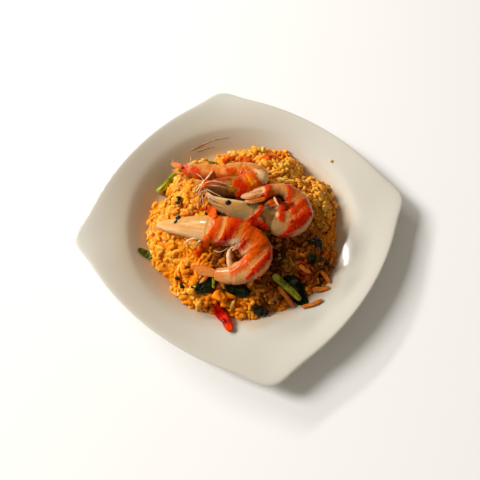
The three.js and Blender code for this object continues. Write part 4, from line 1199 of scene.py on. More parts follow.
def shellColours(tree, spec, where, lines, fine):
    # the bare shell: head, banded body and pale belly, under its painted strokes
    mottle = noiseOn(tree, where, shellLook["mottle"], 4)
    ragged = spread(tree, mottle, 0.3, 0.7, -0.06, 0.06)
    tail = spread(tree, plus(tree, painted(tree, "share"), ragged),
                  spec["headShare"] - 0.05, spec["headShare"] + 0.08)
    light, dark = [[c * shellLook[tone] for c in spec["head"]] for tone in ("headLight", "headDark")]
    head = blendColour(tree, lines.outputs["Mask"], light, dark)
    head = blendColour(tree, spread(tree, mottle, 0.45, 0.7, 0, 0.8), head, spec["belly"])
    back = blendColour(tree, spread(tree, mottle, 0.38, 0.66), spec["tail"], spec["flesh"])
    back = blendColour(tree, times(tree, painted(tree, "rim"), 0.7), back, spec["flesh"])
    groove = [c * shellLook["grooveDark"] for c in spec["tail"]]
    back = blendColour(tree, times(tree, painted(tree, "groove"), 0.4), back, groove)
    colour = blendColour(tree, tail, head, back)
    colour = blendColour(tree, times(tree, painted(tree, "belly"), 0.8), colour, spec["belly"])
    streaked = blendColour(tree, spread(tree, fine, 0.35, 0.65, 0, 1), *shellLook["streaks"])
    daubed = blendColour(tree, 1.0, paintedColour(tree, "shellPaint"), streaked, "MULTIPLY")
    return blendColour(tree, painted(tree, "cover"), colour, daubed), tail


def prawnMaterial(spec):
    material, tree, shader, where = startMaterial(spec["name"] + "Shell", {
        "IOR": 1.4, "Specular IOR Level": 0.06, "Coat Roughness": 0.03, "Coat IOR": 1.42,
        "Subsurface Weight": 0.4, "Subsurface Radius": (1.0, 0.36, 0.12), "Subsurface Scale": 0.002})
    lines = useGroup(tree, fibres, Lines=46.0, Stretch=5.0)
    fine = noiseOn(tree, where, shellLook["fine"], 3)
    shell, tail = shellColours(tree, spec, where, lines, fine)
    ragged = spread(tree, fine, 0.3, 0.7, -0.22, 0.22)
    edge = spread(tree, plus(tree, painted(tree, "sauce"), ragged), 0.1, 0.85)
    pools = spread(tree, noiseOn(tree, where, shellLook["pools"], 3), 0.32, 0.68)
    uneven = blendColour(tree, pools, *shellLook["uneven"])
    sauce = blendColour(tree, 1.0, paintedColour(tree, "saucePaint"), uneven, "MULTIPLY")
    grit = spread(tree, noiseOn(tree, where, shellLook["grit"], 1), 0.66, 0.76, 0, 0.2)
    sauce = blendColour(tree, grit, sauce, shellLook["beads"])
    gloss = blendColour(tree, tail, [spec["headGloss"]] * 3, [shellLook["gloss"]] * 3)
    tree.links.new(blendColour(tree, edge, gloss, (1, 1, 1)), shader.inputs["Coat Weight"])
    rough = maths(tree, "SUBTRACT", oiled(tree, 260.0, 0.5, 0.3, 0.55), times(tree, edge, 0.1))
    grainy = times(tree, noiseOn(tree, where, 1.1, 2), plus(tree, times(tree, edge, 0.6), 0.3))
    height = plus(tree, grainy, times(tree, lines.outputs["Height"], shellLook["lineRelief"]))
    height = plus(tree, height, times(tree, edge, shellLook["sauceRelief"]))
    dress(tree, shader, blendColour(tree, edge, shell, sauce), rough, height, 0.7, 0.45)
    return material


def legMaterial(name, shades):
    material, tree, shader, where = startMaterial(name, {
        "IOR": 1.45, "Coat Weight": 0.3, "Coat Roughness": 0.1,
        "Subsurface Weight": 0.3, "Subsurface Radius": (1.0, 0.5, 0.3), "Subsurface Scale": 0.001})
    colour = ramp(tree, noiseOn(tree, where, 6, 3), (0.3, 0.44, 0.62), shades)
    dress(tree, shader, colour, spread(tree, noiseOn(tree, where, 2, 2), 0, 1, 0.25, 0.45))
    return material


def eyeMaterial():
    material, tree, shader, where = startMaterial("prawnEye", {
        "IOR": 1.5, "Coat Weight": 1.0, "Coat Roughness": 0.03})
    shades = ((0.004, 0.004, 0.005), (0.05, 0.035, 0.025))
    colour = ramp(tree, noiseOn(tree, where, 1.2, 2), (0.3, 0.8), shades)
    dress(tree, shader, colour, spread(tree, noiseOn(tree, where, 0.6, 1), 0, 1, 0.08, 0.25))
    return material


legSkin = legMaterial("prawnLeg", ((0.66, 0.20, 0.05), (0.80, 0.42, 0.19), (0.86, 0.60, 0.36)))
hairSkin = legMaterial("prawnHair", ((0.36, 0.15, 0.05), (0.56, 0.32, 0.15), (0.78, 0.58, 0.38)))
eyeSkin = eyeMaterial()


limbs = {  # half thickness, thickness left at the tip, rings, sides, swellings, and its skin
    "leg": (1.15, 0.5, 26, 10, 0.10, legSkin),
    "paddle": (1.5, 1.5, 26, 14, 0.06, legSkin),
    "hair": (0.38, 0.4, 20, 7, 0.0, hairSkin),
}
shellShape = {
    "rings": 280, "sides": 104, "plates": 6,
    "bow": 0.010, "skew": 0.004,  # how a plate's edge runs round the body
    "step": 0.045, "stepLength": 0.2, "flare": 0.015, "headStep": 0.02,
    "keel": 0.09, "cheek": 0.05, "cheekTurn": 0.9, "cheekWidth": 0.22,
    "flatness": 0.76, "boxiness": 0.72,  # it lies on its flattened side
    "rimWidth": 0.13, "grooveWidth": 0.10, "groovePlace": 0.05,
}


def platePlace(spec, share, turn):
    # how far along its own plate each point is, and whether it is on the head instead
    edge = share - shellShape["bow"] * np.cos(2 * turn) + shellShape["skew"] * np.sin(3 * turn)
    place = (edge - spec["headShare"]) / (1 - spec["headShare"]) * shellShape["plates"]
    return place, np.where(place < 0, 1, place - np.floor(place)), place < 0


def shellSection(spec):
    # plates that lap over one another, and on the head a keel and a furrow along the cheek
    shape = shellShape

    def section(share, turn):
        half = stations(spec["depth"], share)
        toBack = np.cos(turn) * spec["back"]
        place, part, onHead = platePlace(spec, share, turn)
        step = np.where(onHead, shape["headStep"] * np.clip(1 + place / 0.5, 0, 1) ** 2,
                        shape["flare"] * part**3 - shape["step"] * np.exp(-part / shape["stepLength"]))
        step = np.where(place > shape["plates"] - 0.02, 0, step)
        keel = shape["keel"] * np.clip(toBack, 0, 1) ** 14
        fromCheek = (turn - shape["cheekTurn"] * spec["back"]) / shape["cheekWidth"]
        cheek = shape["cheek"] * np.exp(-(fromCheek**2))
        size = 1 + step + np.where(onHead, keel - cheek, 0)
        boxed = np.sign(np.sin(turn)) * np.abs(np.sin(turn)) ** shape["boxiness"]
        return half * size * np.cos(turn), half * shape["flatness"] * size * boxed

    return section


bladeShape = {"waist": 0.55, "ribs": 5, "ribDepth": 0.28, "thickness": 1.15, "thinning": 0.8}


def bladeSection(wide):
    # a tail blade: thin, ribbed and rounded at its tip
    shape = bladeShape

    def section(share, turn):
        full = shape["waist"] + (1 - shape["waist"]) * np.sin(math.pi * share)
        half = wide * full * np.sqrt(np.clip(1 - share**9, 0.04, 1))
        ribs = 1 + shape["ribDepth"] * np.cos(shape["ribs"] * turn) * np.clip(4 * share, 0, 1)
        return half * np.cos(turn), (shape["thickness"] - shape["thinning"] * share) * ribs * np.sin(turn)

    return section


def makeShell(spec, curve):
    shape = shellShape
    body, share, turn = bentRod(spec["name"], curve, shape["rings"], shape["sides"], shellSection(spec))
    _, part, onHead = platePlace(spec, share, turn)
    rim = np.exp(-((1 - part) / shape["rimWidth"]) ** 2)
    groove = np.exp(-((part - shape["groovePlace"]) / shape["grooveWidth"]) ** 2)
    writeValue(body, "rim", np.where(onHead, 0, rim))
    writeValue(body, "groove", np.where(onHead, 0, groove))
    writeValue(body, "belly", np.clip(-np.cos(turn) * spec["back"] * 1.6 - 0.5, 0, 1))
    return body


def makeBlade(blade, curve):
    root = np.array(blade.get("from", along(curve, np.array([0.965]))[0]))
    tip = np.array(blade["tip"], float)
    middle = (root + tip) / 2 + np.array([0, 0, 0.5])
    line = smoothCurve([root, middle, tip])
    piece, share, _ = bentRod("blade", line, 24, 30, bladeSection(blade["width"] / 2))
    writeValue(piece, "share", np.full(len(share), blade.get("share", 1.0)))
    return piece


def makeEye(place, size):
    clearSelection()
    bpy.ops.mesh.primitive_uv_sphere_add(segments=24, ring_count=16, radius=size * mm,
                                         location=[c * mm for c in place])
    bpy.ops.object.transform_apply(location=True, rotation=True, scale=True)
    eye = bpy.context.object
    eye.data.materials.append(eyeSkin)
    return eye


def makePrawn(node, spec, seed):
    curve = smoothCurve(spec["spine"])
    parts = [makeShell(spec, curve)] + [makeBlade(blade, curve) for blade in spec["blades"]]
    shell = prawnMaterial(spec)
    for piece in parts:
        piece.data.materials.append(shell)
    bodyPoints = sum(len(piece.data.vertices) for piece in parts)
    for kind, (half, taper, rings, sides, knots, skin) in limbs.items():
        for line in spec.get(kind + "s", []):
            piece = strand(kind, line, half, taper, rings, sides, knots)
            piece.data.materials.append(skin)
            parts.append(piece)
    parts += [makeEye(place, spec["eyeSize"]) for place in spec["eyes"]]
    whole = joinPieces(parts, spec["name"])
    paintSauce(whole, spec, seed, nodeShape([node]), bodyPoints)
    smoothShade(whole)
    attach(whole, "root")
    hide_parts(node)
    print(spec["name"] + ":", len(whole.data.polygons), "faces")


for number, (node, spec) in enumerate(prawns.items()):
    makePrawn(node, spec, 20 + 7 * number)

# toppings: each lies where its solid lies, whose height is felt for with a ray from above

leaves = {
    "stem_leaf": {"from": (23, -57), "to": (36, -76), "width": 12, "curl": 1, "ripple": 0.9},
    "leaf_front_left": {"from": (-27, -52), "to": (-43, -56), "width": 12, "ripple": 0.9},
    "leaf_front_middle": {"from": (-24, -56), "to": (-5, -66), "width": 9, "ripple": 1.0},
    "leaf_front_edge": {"from": (-4, -76), "to": (7, -77.5), "width": 6, "ripple": 0.5},
    "leaf_left_edge": {"from": (-73, -20), "to": (-84, -13), "width": 6.5, "ripple": 0.5},
    "leaf_right_upper": {"from": (50, -28), "to": (54, -38), "width": 6, "ripple": 0.5},
    "leaf_right_lower": {"from": (44, -42), "to": (45.5, -51), "width": 5, "ripple": 0.5},
    "leaf_right_edge": {"from": (57, -46), "to": (63, -50), "width": 3.6, "ripple": 0.4},
    "leaf_back_stem": {"from": (-52, 49), "to": (-44, 55), "width": 7, "ripple": 0.5},
    "green_bit_back": {"from": (-28, 66), "to": (-23, 67.5), "width": 5, "ripple": 0.3},
    "green_bit_left": {"from": (-21, 56.5), "to": (-14, 53.5), "width": 5, "ripple": 0.3},
    "green_bit_right": {"from": (-7, 44), "to": (-1.5, 42.5), "width": 4, "ripple": 0.3},
}
leafShape = {
    "thickness": 0.5, "across": 14, "lengthwise": 28,  # millimetres, and the squares in its mesh
    "fullness": 0.6, "ends": 0.25, "torn": 0.14,  # its outline
    "inset": 0.86,  # how far out its height is felt for
    "fold": 0.126, "furrow": 0.35, "furrowWidth": 0.06, "ribWidth": 0.045,
    "crinkle": 0.35, "crinkleSize": 2.6,
}
leafFinish = {
    "dark": ((0.003, 0.004, 0.002), (0.010, 0.015, 0.004), (0.045, 0.052, 0.010)),
    "bright": ((0.030, 0.050, 0.004), (0.085, 0.125, 0.007), (0.22, 0.23, 0.020)),
    "brightOnes": ("leaf_left_edge", "leaf_back_stem", "green_bit_back", "green_bit_left",
                   "green_bit_right"),
}

stems = {
    "green_stem": {"line": [(13, -55.5), (18, -60.5), (25, -66), (32, -72.5)], "half": 2.7},
    "green_stem_back": {"line": [(-66, 39), (-60, 43), (-53.5, 47), (-47.5, 51)], "half": 3.2},
    "leaf_rib": {"line": [(-29, -48), (-29.5, -53.5), (-30.5, -58)], "half": 1.3},
}

shreds = {
    "carrot_shred_left": {"line": [(16, -63), (21, -70), (26, -76)], "width": 3.2, "thick": 1.5},
    "carrot_shred_plate": {"line": [(31, -78), (40, -77.5), (47.5, -75.5)], "width": 2.8, "thick": 1.5},
    "carrot_shred_upper": {"line": [(50, -53.5), (54, -57.5), (56.5, -62.5)], "width": 3, "thick": 1.4},
    "carrot_shred_right": {"line": [(42, -65), (50, -66.5), (55, -66)], "width": 3.4, "thick": 1.5},
    "carrot_bit": {"line": [(34, -50), (38, -53.5), (42, -55.5)], "width": 3.4, "thick": 1.8},
}

chunks = {
    "chilli_strip": {"line": [(-31, -67.5), (-28, -73), (-24.5, -80), (-22.5, -89.5)], "half": 4.1,
                     "thick": 2.2, "slot": "chilli", "lumps": 0.16},
    "carrot_chunk": {"line": [(-30, -60), (-26, -64.5), (-22, -67)], "half": 4.2, "thick": 2.6,
                     "slot": "carrot", "lumps": 0.30},
    "tomato_left": {"line": [(-9, 48), (-4, 51), (1, 51)], "half": 3.2, "thick": 2.2, "slot": "tomato",
                    "lumps": 0.34},
    "tomato_middle": {"line": [(3, 47), (9, 46), (14, 43)], "half": 3.6, "thick": 2.4, "lift": 0.8,
                      "slot": "tomato", "lumps": 0.34},
    "tomato_right": {"line": [(25, 43), (30, 46), (34, 43)], "half": 4.2, "thick": 3.2, "lift": 1.0,
                     "slot": "tomato", "lumps": 0.34},
}
lumpShades = {  # three shades from dark to light, and how much it shines
    "chilli": ("chilliFlesh", ((0.20, 0.003, 0.001), (0.46, 0.003, 0.001), (0.66, 0.05, 0.003)), 0.2),
    "carrot": ("softCarrot", ((0.72, 0.13, 0.003), (0.92, 0.26, 0.008), (0.95, 0.38, 0.03)), 0.2),
    "tomato": ("softTomato", ((0.46, 0.04, 0.003), (0.70, 0.09, 0.005), (0.80, 0.22, 0.02)), 0.12),
}


above, below = 90, -20  # heights from which a ray is cast down and up, in millimetres


def heightUnder(shape, x, y):
    return shape.ray_cast(Vector((x, y, above)), Vector((0, 0, -1)))[0]


def layOn(node, places):
    # the middle height of a node's solid under each place, or of the nearest bit of it
    shape = nodeShape([node])
    heights = []
    for x, y in places:
        down = heightUnder(shape, x, y)
        up = shape.ray_cast(Vector((x, y, below)), Vector((0, 0, 1)))[0]
        if down is None or up is None:
            level = 20
            for _ in range(4):
                level = shape.find_nearest(Vector((x, y, level)))[0].z
        else:
            level = (down.z + up.z) / 2
        heights.append(level)
    return np.array(heights)


def curveOn(node, points, inset, lift=0):
    # a curve over a node's solid, its height felt for a little way in from its own line
    line = np.array(points, float)
    heights = layOn(node, line * (1 - inset) + line.mean(0) * inset)
    return smoothCurve(np.column_stack([line, heights + lift]))


def leafMaterial(name, shades):
    material, tree, shader, where = startMaterial(name, {
        "IOR": 1.45, "Specular IOR Level": 0.14, "Coat Weight": 0.45, "Coat Roughness": 0.07,
        "Subsurface Weight": 0.12, "Subsurface Radius": (0.4, 1.0, 0.2), "Subsurface Scale": 0.0008})
    colour = ramp(tree, noiseOn(tree, where, 3.4, 4), (0.34, 0.54, 0.72), shades)
    colour = blendColour(tree, times(tree, painted(tree, "rib"), 0.8), colour, shades[2])
    veins = useGroup(tree, fibres, Lines=9.0, Stretch=34.0).outputs["Height"]
    height = plus(tree, times(tree, veins, 0.6), noiseOn(tree, where, 1.6, 3))
    dress(tree, shader, colour, oiled(tree, 300.0, 0.5, 0.14, 0.6), height, 0.9, 0.8)
    return material


def makeLeaf(node, spec, seed, skin):
    clearSelection()
    shape = leafShape
    bpy.ops.mesh.primitive_grid_add(x_subdivisions=shape["lengthwise"], y_subdivisions=shape["across"],
                                    size=1)
    leaf = bpy.context.object
    grid = readPoints(leaf) * mm
    at, off = grid[:, 0] + 0.5, grid[:, 1]
    start, end = np.array(spec["from"], float), np.array(spec["to"], float)
    run = end - start
    side = np.array([-run[1], run[0]]) / np.linalg.norm(run)
    belly = np.sin(math.pi * np.clip(at, 0, 1)) ** shape["fullness"]
    edgeNoise = roughen(np.column_stack([at * 9, np.sign(off) * 3, 0 * at]), 1.0, seed)
    half = spec["width"] / 2 * (shape["ends"] + (1 - shape["ends"]) * belly)
    half = half * (1 + shape["torn"] * edgeNoise)
    sideways = off * 2 * half + spec.get("curl", 0) * np.sin(math.pi * at)
    places, inner = [start + at[:, None] * run + (sideways * part)[:, None] * side
                     for part in (1, shape["inset"])]
    points = np.column_stack([places, layOn(node, inner)])
    folds = shape["fold"] * np.cos(10 * math.pi * off + at * 7)
    furrow = shape["furrow"] * np.exp(-(off / shape["furrowWidth"]) ** 2)
    crinkle = shape["crinkle"] * roughen(points, shape["crinkleSize"], seed)
    points[:, 2] += spec["ripple"] * (crinkle + folds - furrow)
    writePoints(leaf, points)
    writeValue(leaf, "rib", np.exp(-(off / shape["ribWidth"]) ** 2) * (1 - at))
    applyModifier(leaf, "SOLIDIFY", thickness=shape["thickness"] * mm, offset=0)
    applyModifier(leaf, "SUBSURF", levels=1, render_levels=1)
    leaf.data.materials.append(skin)
    return leaf


def stemMaterial():
    material, tree, shader, where = startMaterial("greenStalk", {
        "IOR": 1.45, "Specular IOR Level": 0.15, "Coat Weight": 0.7, "Coat Roughness": 0.05,
        "Subsurface Weight": 0.2, "Subsurface Radius": (0.5, 1.0, 0.15), "Subsurface Scale": 0.0012})
    lines = useGroup(tree, fibres, Lines=26.0, Stretch=2.2).outputs
    colour = blendColour(tree, lines["Mask"], (0.10, 0.14, 0.003), (0.66, 0.58, 0.014))
    shade = spread(tree, noiseOn(tree, where, 5, 3), 0.40, 0.66, 0.0, 0.9)
    colour = blendColour(tree, shade, colour, (0.03, 0.055, 0.003))
    cutEnd = spread(tree, painted(tree, "share"), 0.0, 0.2, 0.6, 0.0)
    colour = blendColour(tree, cutEnd, colour, (0.60, 0.60, 0.12))
    dress(tree, shader, colour, spread(tree, lines["Mask"], 0, 1, 0.42, 0.2), lines["Height"], 0.45, 0.4)
    return material


def makeStem(node, spec, skin):
    def section(share, turn):
        ridges = 1 + 0.045 * np.cos(7 * turn) + 0.05 * np.cos(3 * turn + 4 * share)
        size = spec["half"] * (1 - 0.22 * share) * bluntEnds(share, 9, 0.02) * ridges
        return size * np.cos(turn), size * np.sin(turn)

    stem = bentRod(node, curveOn(node, spec["line"], 0.06), 40, 40, section)[0]
    stem.data.materials.append(skin)
    return stem


def shredMaterial():
    material, tree, shader, where = startMaterial("cookedCarrot", {
        "IOR": 1.45, "Specular IOR Level": 0.1, "Coat Weight": 0.25, "Coat Roughness": 0.1,
        "Subsurface Weight": 0.3, "Subsurface Radius": (1.0, 0.4, 0.1), "Subsurface Scale": 0.0015})
    lines = useGroup(tree, fibres, Lines=16.0, Stretch=2.4).outputs
    colour = blendColour(tree, lines["Mask"], (0.52, 0.12, 0.008), (0.78, 0.26, 0.03))
    brown = spread(tree, noiseOn(tree, where, 3, 3), 0.4, 0.7, 0, 0.7)
    colour = blendColour(tree, brown, colour, (0.42, 0.075, 0.006))
    rough = spread(tree, noiseOn(tree, where, 2, 2), 0.3, 0.7, 0.24, 0.5)
    dress(tree, shader, colour, rough, lines["Height"], 0.5, 0.35)
    return material


def makeShred(node, spec, seed, skin):
    def section(share, turn):
        # a cut strip: its section is nearly square-edged
        slim = (1 - 0.35 * np.abs(2 * share - 1) ** 3) * bluntEnds(share, 14, 0.02)
        boxed = (np.abs(np.cos(turn)) ** 5 + np.abs(np.sin(turn)) ** 5) ** (-1 / 5)
        wobble = 1 + 0.10 * np.sin(share * 9 + seed) + 0.05 * np.sin(share * 23 + 2 * seed)
        return (spec["width"] / 2 * boxed * np.cos(turn) * slim * wobble,
                spec["thick"] / 2 * boxed * np.sin(turn) * slim)

    shred = bentRod(node, curveOn(node, spec["line"], 0.08), 34, 24, section)[0]
    shred.data.materials.append(skin)
    return shred


def lumpMaterial(name, shades, gloss):
    material, tree, shader, where = startMaterial(name, {
        "IOR": 1.45, "Specular IOR Level": 0.05, "Coat Weight": gloss, "Coat Roughness": 0.05,
        "Subsurface Weight": 0.3, "Subsurface Radius": (1.0, 0.3, 0.1), "Subsurface Scale": 0.0014})
    blotch = plus(tree, noiseOn(tree, where, 3.6, 4), painted(tree, "tip"))
    colour = ramp(tree, blotch, (0.36, 0.52, 0.7), shades)
    relief = noiseOn(tree, where, 1.3, 3)
    dress(tree, shader, colour, oiled(tree, 320.0, 0.36, 0.1, 0.65), relief, 0.4, 0.4)
    return material


def makeChunk(node, spec, seed, skin):
    # a soft lump; the chilli is a strip of skin, which curls up at its edges and pales at its tip
    skinLike = node == "chilli_strip"
    thinning, hollow = (0.25, 0.42) if skinLike else (0.3, 0)

    def section(share, turn):
        size = (1 - thinning * share) * bluntEnds(share, 6, 0.12)
        curlUp = np.where(np.sin(turn) > 0, 1 - hollow * np.exp(-(np.cos(turn) / 0.55) ** 2), 1)
        return spec["half"] * size * np.cos(turn), spec["thick"] * size * curlUp * np.sin(turn)

    curve = curveOn(node, spec["line"], 0.1, spec.get("lift", 0))
    lump, share, _ = bentRod(node, curve, 36, 36, section)
    points = readPoints(lump)
    centre = along(curve, share)
    swell = 1 + spec["lumps"] * (roughen(points, 3.4, seed) + 0.4 * roughen(points, 1.5, seed + 3))
    writePoints(lump, centre + (points - centre) * np.minimum(swell, 1.06)[:, None])
    writeValue(lump, "tip", np.clip(share - 0.7, 0, 1) * skinLike)
    lump.data.materials.append(skin)
    return lump


def makeToppings():
    leafSkins = {shade: leafMaterial(shade + "Leaf", leafFinish[shade]) for shade in ("dark", "bright")}
    stalk, carrot = stemMaterial(), shredMaterial()
    lumpSkins = {slot: lumpMaterial(*look) for slot, look in lumpShades.items()}
    made = []
    for number, (node, spec) in enumerate(leaves.items()):
        skin = leafSkins["bright" if node in leafFinish["brightOnes"] else "dark"]
        made.append((node, makeLeaf(node, spec, number * 3.1, skin), "leaf"))
    for node, spec in stems.items():
        made.append((node, makeStem(node, spec, stalk), "stem"))
    for number, (node, spec) in enumerate(shreds.items()):
        made.append((node, makeShred(node, spec, number * 1.7, carrot), "carrot"))
    for number, (node, spec) in enumerate(chunks.items()):
        skin = lumpSkins[spec["slot"]]
        made.append((node, makeChunk(node, spec, 40 + number * 5, skin), spec["slot"]))
    for node, piece, slot in made:
        words = node.split("_")
        piece.name = piece.data.name = words[0] + "".join(w.title() for w in words[1:])
        smoothShade(piece)
        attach(piece, "root")
        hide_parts(node)
    print("toppings:", len(made), "pieces")


makeToppings()

# thick sauce that crosses from one thing to the next, and small dark flakes

sauceStrips = [
    # colour (0 orange, 1 dark red), width at start and end, thickness, line it runs along
    (0.15, 5.6, 7.2, 2.0, [(-28.7, 1.5, 38), (-25.9, -1.4, 40), (-23.4, -6.2, 42.5), (-21.8, -12.1, 45)]),
    (0.10, 6.4, 5.2, 2.2, [(-28.6, -24.8, 43), (-32.1, -28.7, 40.5), (-36.2, -31.9, 38.5),
                           (-42, -36.1, 35.5)]),
    (1.00, 4.0, 4.4, 0.8, [(1.8, -20.1, 48.7), (4.7, -22, 47), (7.5, -23, 49), (11.2, -23.4, 50.3)]),
    (1.00, 3.4, 4.6, 1.0, [(2.4, -56.4, 33), (1.0, -58.5, 28), (3.0, -60.2, 27)]),
    (0.15, 3.4, 2.4, 0.7, [(-19.2, 27.8, 41.3), (-24, 24.6, 38), (-28.1, 19.5, 37)]),
]
stripMesh = {
    "step": 0.55, "across": 9, "softenings": 7,
    "rise": 1.6, "fall": 2.2, "nearFall": 1.4,  # how far it may stray from the depth it usually lies at
    "sunk": 0.45,  # how far its underside goes into what it lies on
}


def drape(points):
    # drops each point along the slant on to whatever shows there
    scene = bpy.context.scene
    world = bpy.context.evaluated_depsgraph_get()
    way = Vector(slant)
    found = []
    for p in points:
        start = Vector(p) * mm - way * 0.12
        hit, place, _, _, thing, _ = scene.ray_cast(world, start, way)
        while hit and (thing.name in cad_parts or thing.name == "squarePlate"):
            hit, place, _, _, thing, _ = scene.ray_cast(world, place + way * 1e-5, way)
        found.append(np.array(place) / mm if hit else p)
    return np.array(found)


def softDepths(laid):
    # the depths along the slant of a strip's grid, without the gaps and spikes that it runs over
    usual = np.median(laid, axis=1, keepdims=True)
    nearest = np.percentile(laid, 25, axis=1, keepdims=True)
    lowest = np.minimum(usual + stripMesh["fall"], nearest + stripMesh["nearFall"])
    deep = np.clip(laid, usual - stripMesh["rise"], lowest)
    for _ in range(stripMesh["softenings"]):
        padded = np.pad(deep, 1, mode="edge")
        beside = padded[:-2, 1:-1] + padded[2:, 1:-1] + padded[1:-1, :-2] + padded[1:-1, 2:]
        deep = np.minimum(deep, (beside + 2 * deep) / 6)
    return deep


def stripFaces(long, wide):
    # the upper grid, the lower one, and the walls that join them all the way round
    lower = (long + 1) * wide
    faces = []
    for i in range(long):
        for a in range(i * wide, i * wide + wide - 1):
            faces.append((a, a + 1, a + 1 + wide, a + wide))
            faces.append((lower + a, lower + a + wide, lower + a + 1 + wide, lower + a + 1))
        for a, turned in ((i * wide, 1), (i * wide + wide - 1, -1)):
            faces.append((a, a + wide, lower + a + wide, lower + a)[::turned])
    for start, turned in ((0, 1), (long * wide, -1)):
        for a in range(start, start + wide - 1):
            faces.append((a, lower + a, lower + a + 1, a + 1)[::turned])
    return faces


def makeStrip(number, colour, wideStart, wideEnd, thick, line):
    curve = smoothCurve(line, 20)
    length, wide = curve[2], stripMesh["across"]
    long = max(10, int(length / stripMesh["step"]))
    share = np.linspace(0, 1, long + 1)
    middle = along(curve, share)
    side = unit(np.cross(heading(curve, share, 0.02), slant[None]))
    at = share * length
    wave = 1 + 0.22 * np.sin(at / 3.1 + number) + 0.13 * np.sin(at / 1.3 + 2 * number)
    half = (wideStart + (wideEnd - wideStart) * share) * wave / 2 * bluntEnds(share, 7, 0.05)
    offs = np.linspace(-1, 1, wide)
    grid = middle[:, None] + side[:, None] * (half[:, None] * offs[None])[..., None]
    laid = drape(grid.reshape(-1, 3)).reshape(grid.shape)
    deep = softDepths((laid - middle[:, None]) @ slant)
    base = grid + slant * (deep - ((grid - middle[:, None]) @ slant))[..., None]
    arch = np.sqrt(np.clip(1 - offs**2, 0, 1))[None]
    dome = arch * thick * (0.75 + 0.35 * np.sin(at / 1.7))[:, None]
    top = base - slant * (dome + 0.02)[..., None]
    under = base + slant * (stripMesh["sunk"] * arch)[..., None]
    points = np.vstack([top.reshape(-1, 3), under.reshape(-1, 3)])
    strip = meshPiece("strip", points, faces=stripFaces(long, wide))
    writeValue(strip, "red", np.full(len(points), colour))
    return strip


def sauceMaterial():
    material, tree, shader, where = startMaterial("chilliSauce", {
        "IOR": 1.4, "Specular IOR Level": 0.08, "Coat Weight": 0.3, "Coat Roughness": 0.05,
        "Subsurface Weight": 0.35, "Subsurface Radius": (1.0, 0.25, 0.05), "Subsurface Scale": 0.002})
    mottle = spread(tree, noiseOn(tree, where, 2.6, 3), 0.35, 0.65)
    orange = blendColour(tree, mottle, (0.66, 0.060, 0.0010), (0.80, 0.130, 0.003))
    uneven = spread(tree, noiseOn(tree, where, 4, 3), 0.3, 0.7, -0.2, 0.2)
    redder = maths(tree, "ADD", painted(tree, "red"), uneven, clamp=True)
    colour = blendColour(tree, redder, orange, (0.34, 0.012, 0.0008))
    relief = noiseOn(tree, where, 1.2, 3)
    dress(tree, shader, colour, oiled(tree, 420.0, 0.5, 0.3, 0.6), relief, 0.4, 0.35)
    return material


def makeSauce():
    bpy.context.view_layer.update()
    parts = [makeStrip(number, *strip) for number, strip in enumerate(sauceStrips)]
    sauce = joinPieces(parts, "drizzledSauce")
    editMesh(sauce, (bpy.ops.mesh.remove_doubles, {"threshold": 2e-5}), outwards)
    applyModifier(sauce, "SUBSURF", levels=1, render_levels=1)
    smoothShade(sauce)
    sauce.data.materials.append(sauceMaterial())
    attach(sauce, "root")
    print("sauce:", len(sauce.data.polygons), "faces")


flakes = {
    # where each lies, and its length
    "places": [(-55, 20, 6), (-48, 14, 7.5), (-56, -44, 4), (-52.5, -50, 5.5), (-44.5, -54.5, 6.5),
               (51, -47, 6), (20, -43, 5), (46, -35, 5), (-27, -3, 5), (-16, -8, 3.4), (12, -69, 3.2),
               (62, -22, 3.6), (-75.5, 12.4, 3.6), (-74, 9.5, 2.2)],
    "width": 3.4,
    "onRice": 1.2, "onPlate": 0.2, "riceReach": 70,  # how far it stands off what it lies on
    "shades": ((0.006, 0.007, 0.004), (0.022, 0.026, 0.007), (0.06, 0.030, 0.006)),
}


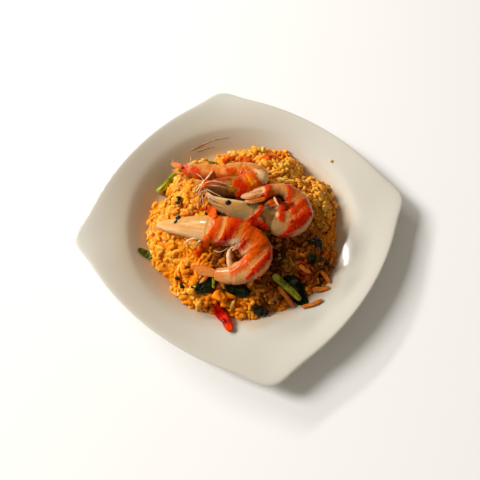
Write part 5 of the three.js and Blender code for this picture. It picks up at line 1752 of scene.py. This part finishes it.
def flakeMaterial():
    material, tree, shader, where = startMaterial("darkFlake", {
        "IOR": 1.45, "Specular IOR Level": 0.15, "Coat Weight": 0.15, "Coat Roughness": 0.1})
    colour = ramp(tree, noiseOn(tree, where, 2.2, 3), (0.35, 0.55, 0.7), flakes["shades"])
    rough = spread(tree, noiseOn(tree, where, 1, 2), 0.3, 0.7, 0.18, 0.5)
    dress(tree, shader, colour, rough, noiseOn(tree, where, 1.0, 3), 0.6, 0.4)
    return material


def flakeSection(wide, number):
    def section(share, turn):
        uneven = 1 + 0.4 * np.sin(share * 9 + number) + 0.25 * np.sin(3 * turn + number + 5 * share)
        size = wide * bluntEnds(share, 4, 0.03) * uneven
        return size / 2 * np.cos(turn), size * 0.16 * np.sin(turn)

    return section


def makeFlakes():
    shape = nodeShape(["rice_heap", "plate"])
    parts = []
    for number, (x, y, length) in enumerate(flakes["places"]):
        lift = flakes["onRice"] if math.hypot(x, y) < flakes["riceReach"] else flakes["onPlate"]
        turn = number * 1.3
        reach = np.array([math.cos(turn), math.sin(turn), 0]) * length / 2
        middle = np.array([x, y, heightUnder(shape, x, y).z + lift])
        curve = smoothCurve([middle - reach, middle + [0, 0, 0.5], middle + reach])
        section = flakeSection(min(flakes["width"], 0.6 * length), number)
        parts.append(bentRod("flake", curve, 14, 14, section)[0])
    whole = joinPieces(parts, "darkFlakes")
    smoothShade(whole)
    whole.data.materials.append(flakeMaterial())
    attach(whole, "root")


# feelers that have come loose and lie on the plate behind the heap
looseFeelers = [
    [(-35.5, 75.7, 11.8), (-25.5, 79.7, 12.2), (-15.3, 83.2, 12.4), (1.7, 84.9, 12.6)],
    [(-29.6, 75.1, 10.1), (-21.5, 77.4, 9.9), (-13.4, 78.6, 9.4)],
    [(-34.3, 72.7, 9.8), (-35, 69.5, 8.2), (-35.2, 66.6, 6.9)],
]


def makeFeelers():
    parts = [strand("feeler", line, 0.3, 0.6, 24, 7) for line in looseFeelers]
    whole = joinPieces(parts, "looseFeelers")
    whole.data.materials.append(hairSkin)
    smoothShade(whole)
    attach(whole, "root")


makeFlakes()
makeFeelers()
makeSauce()
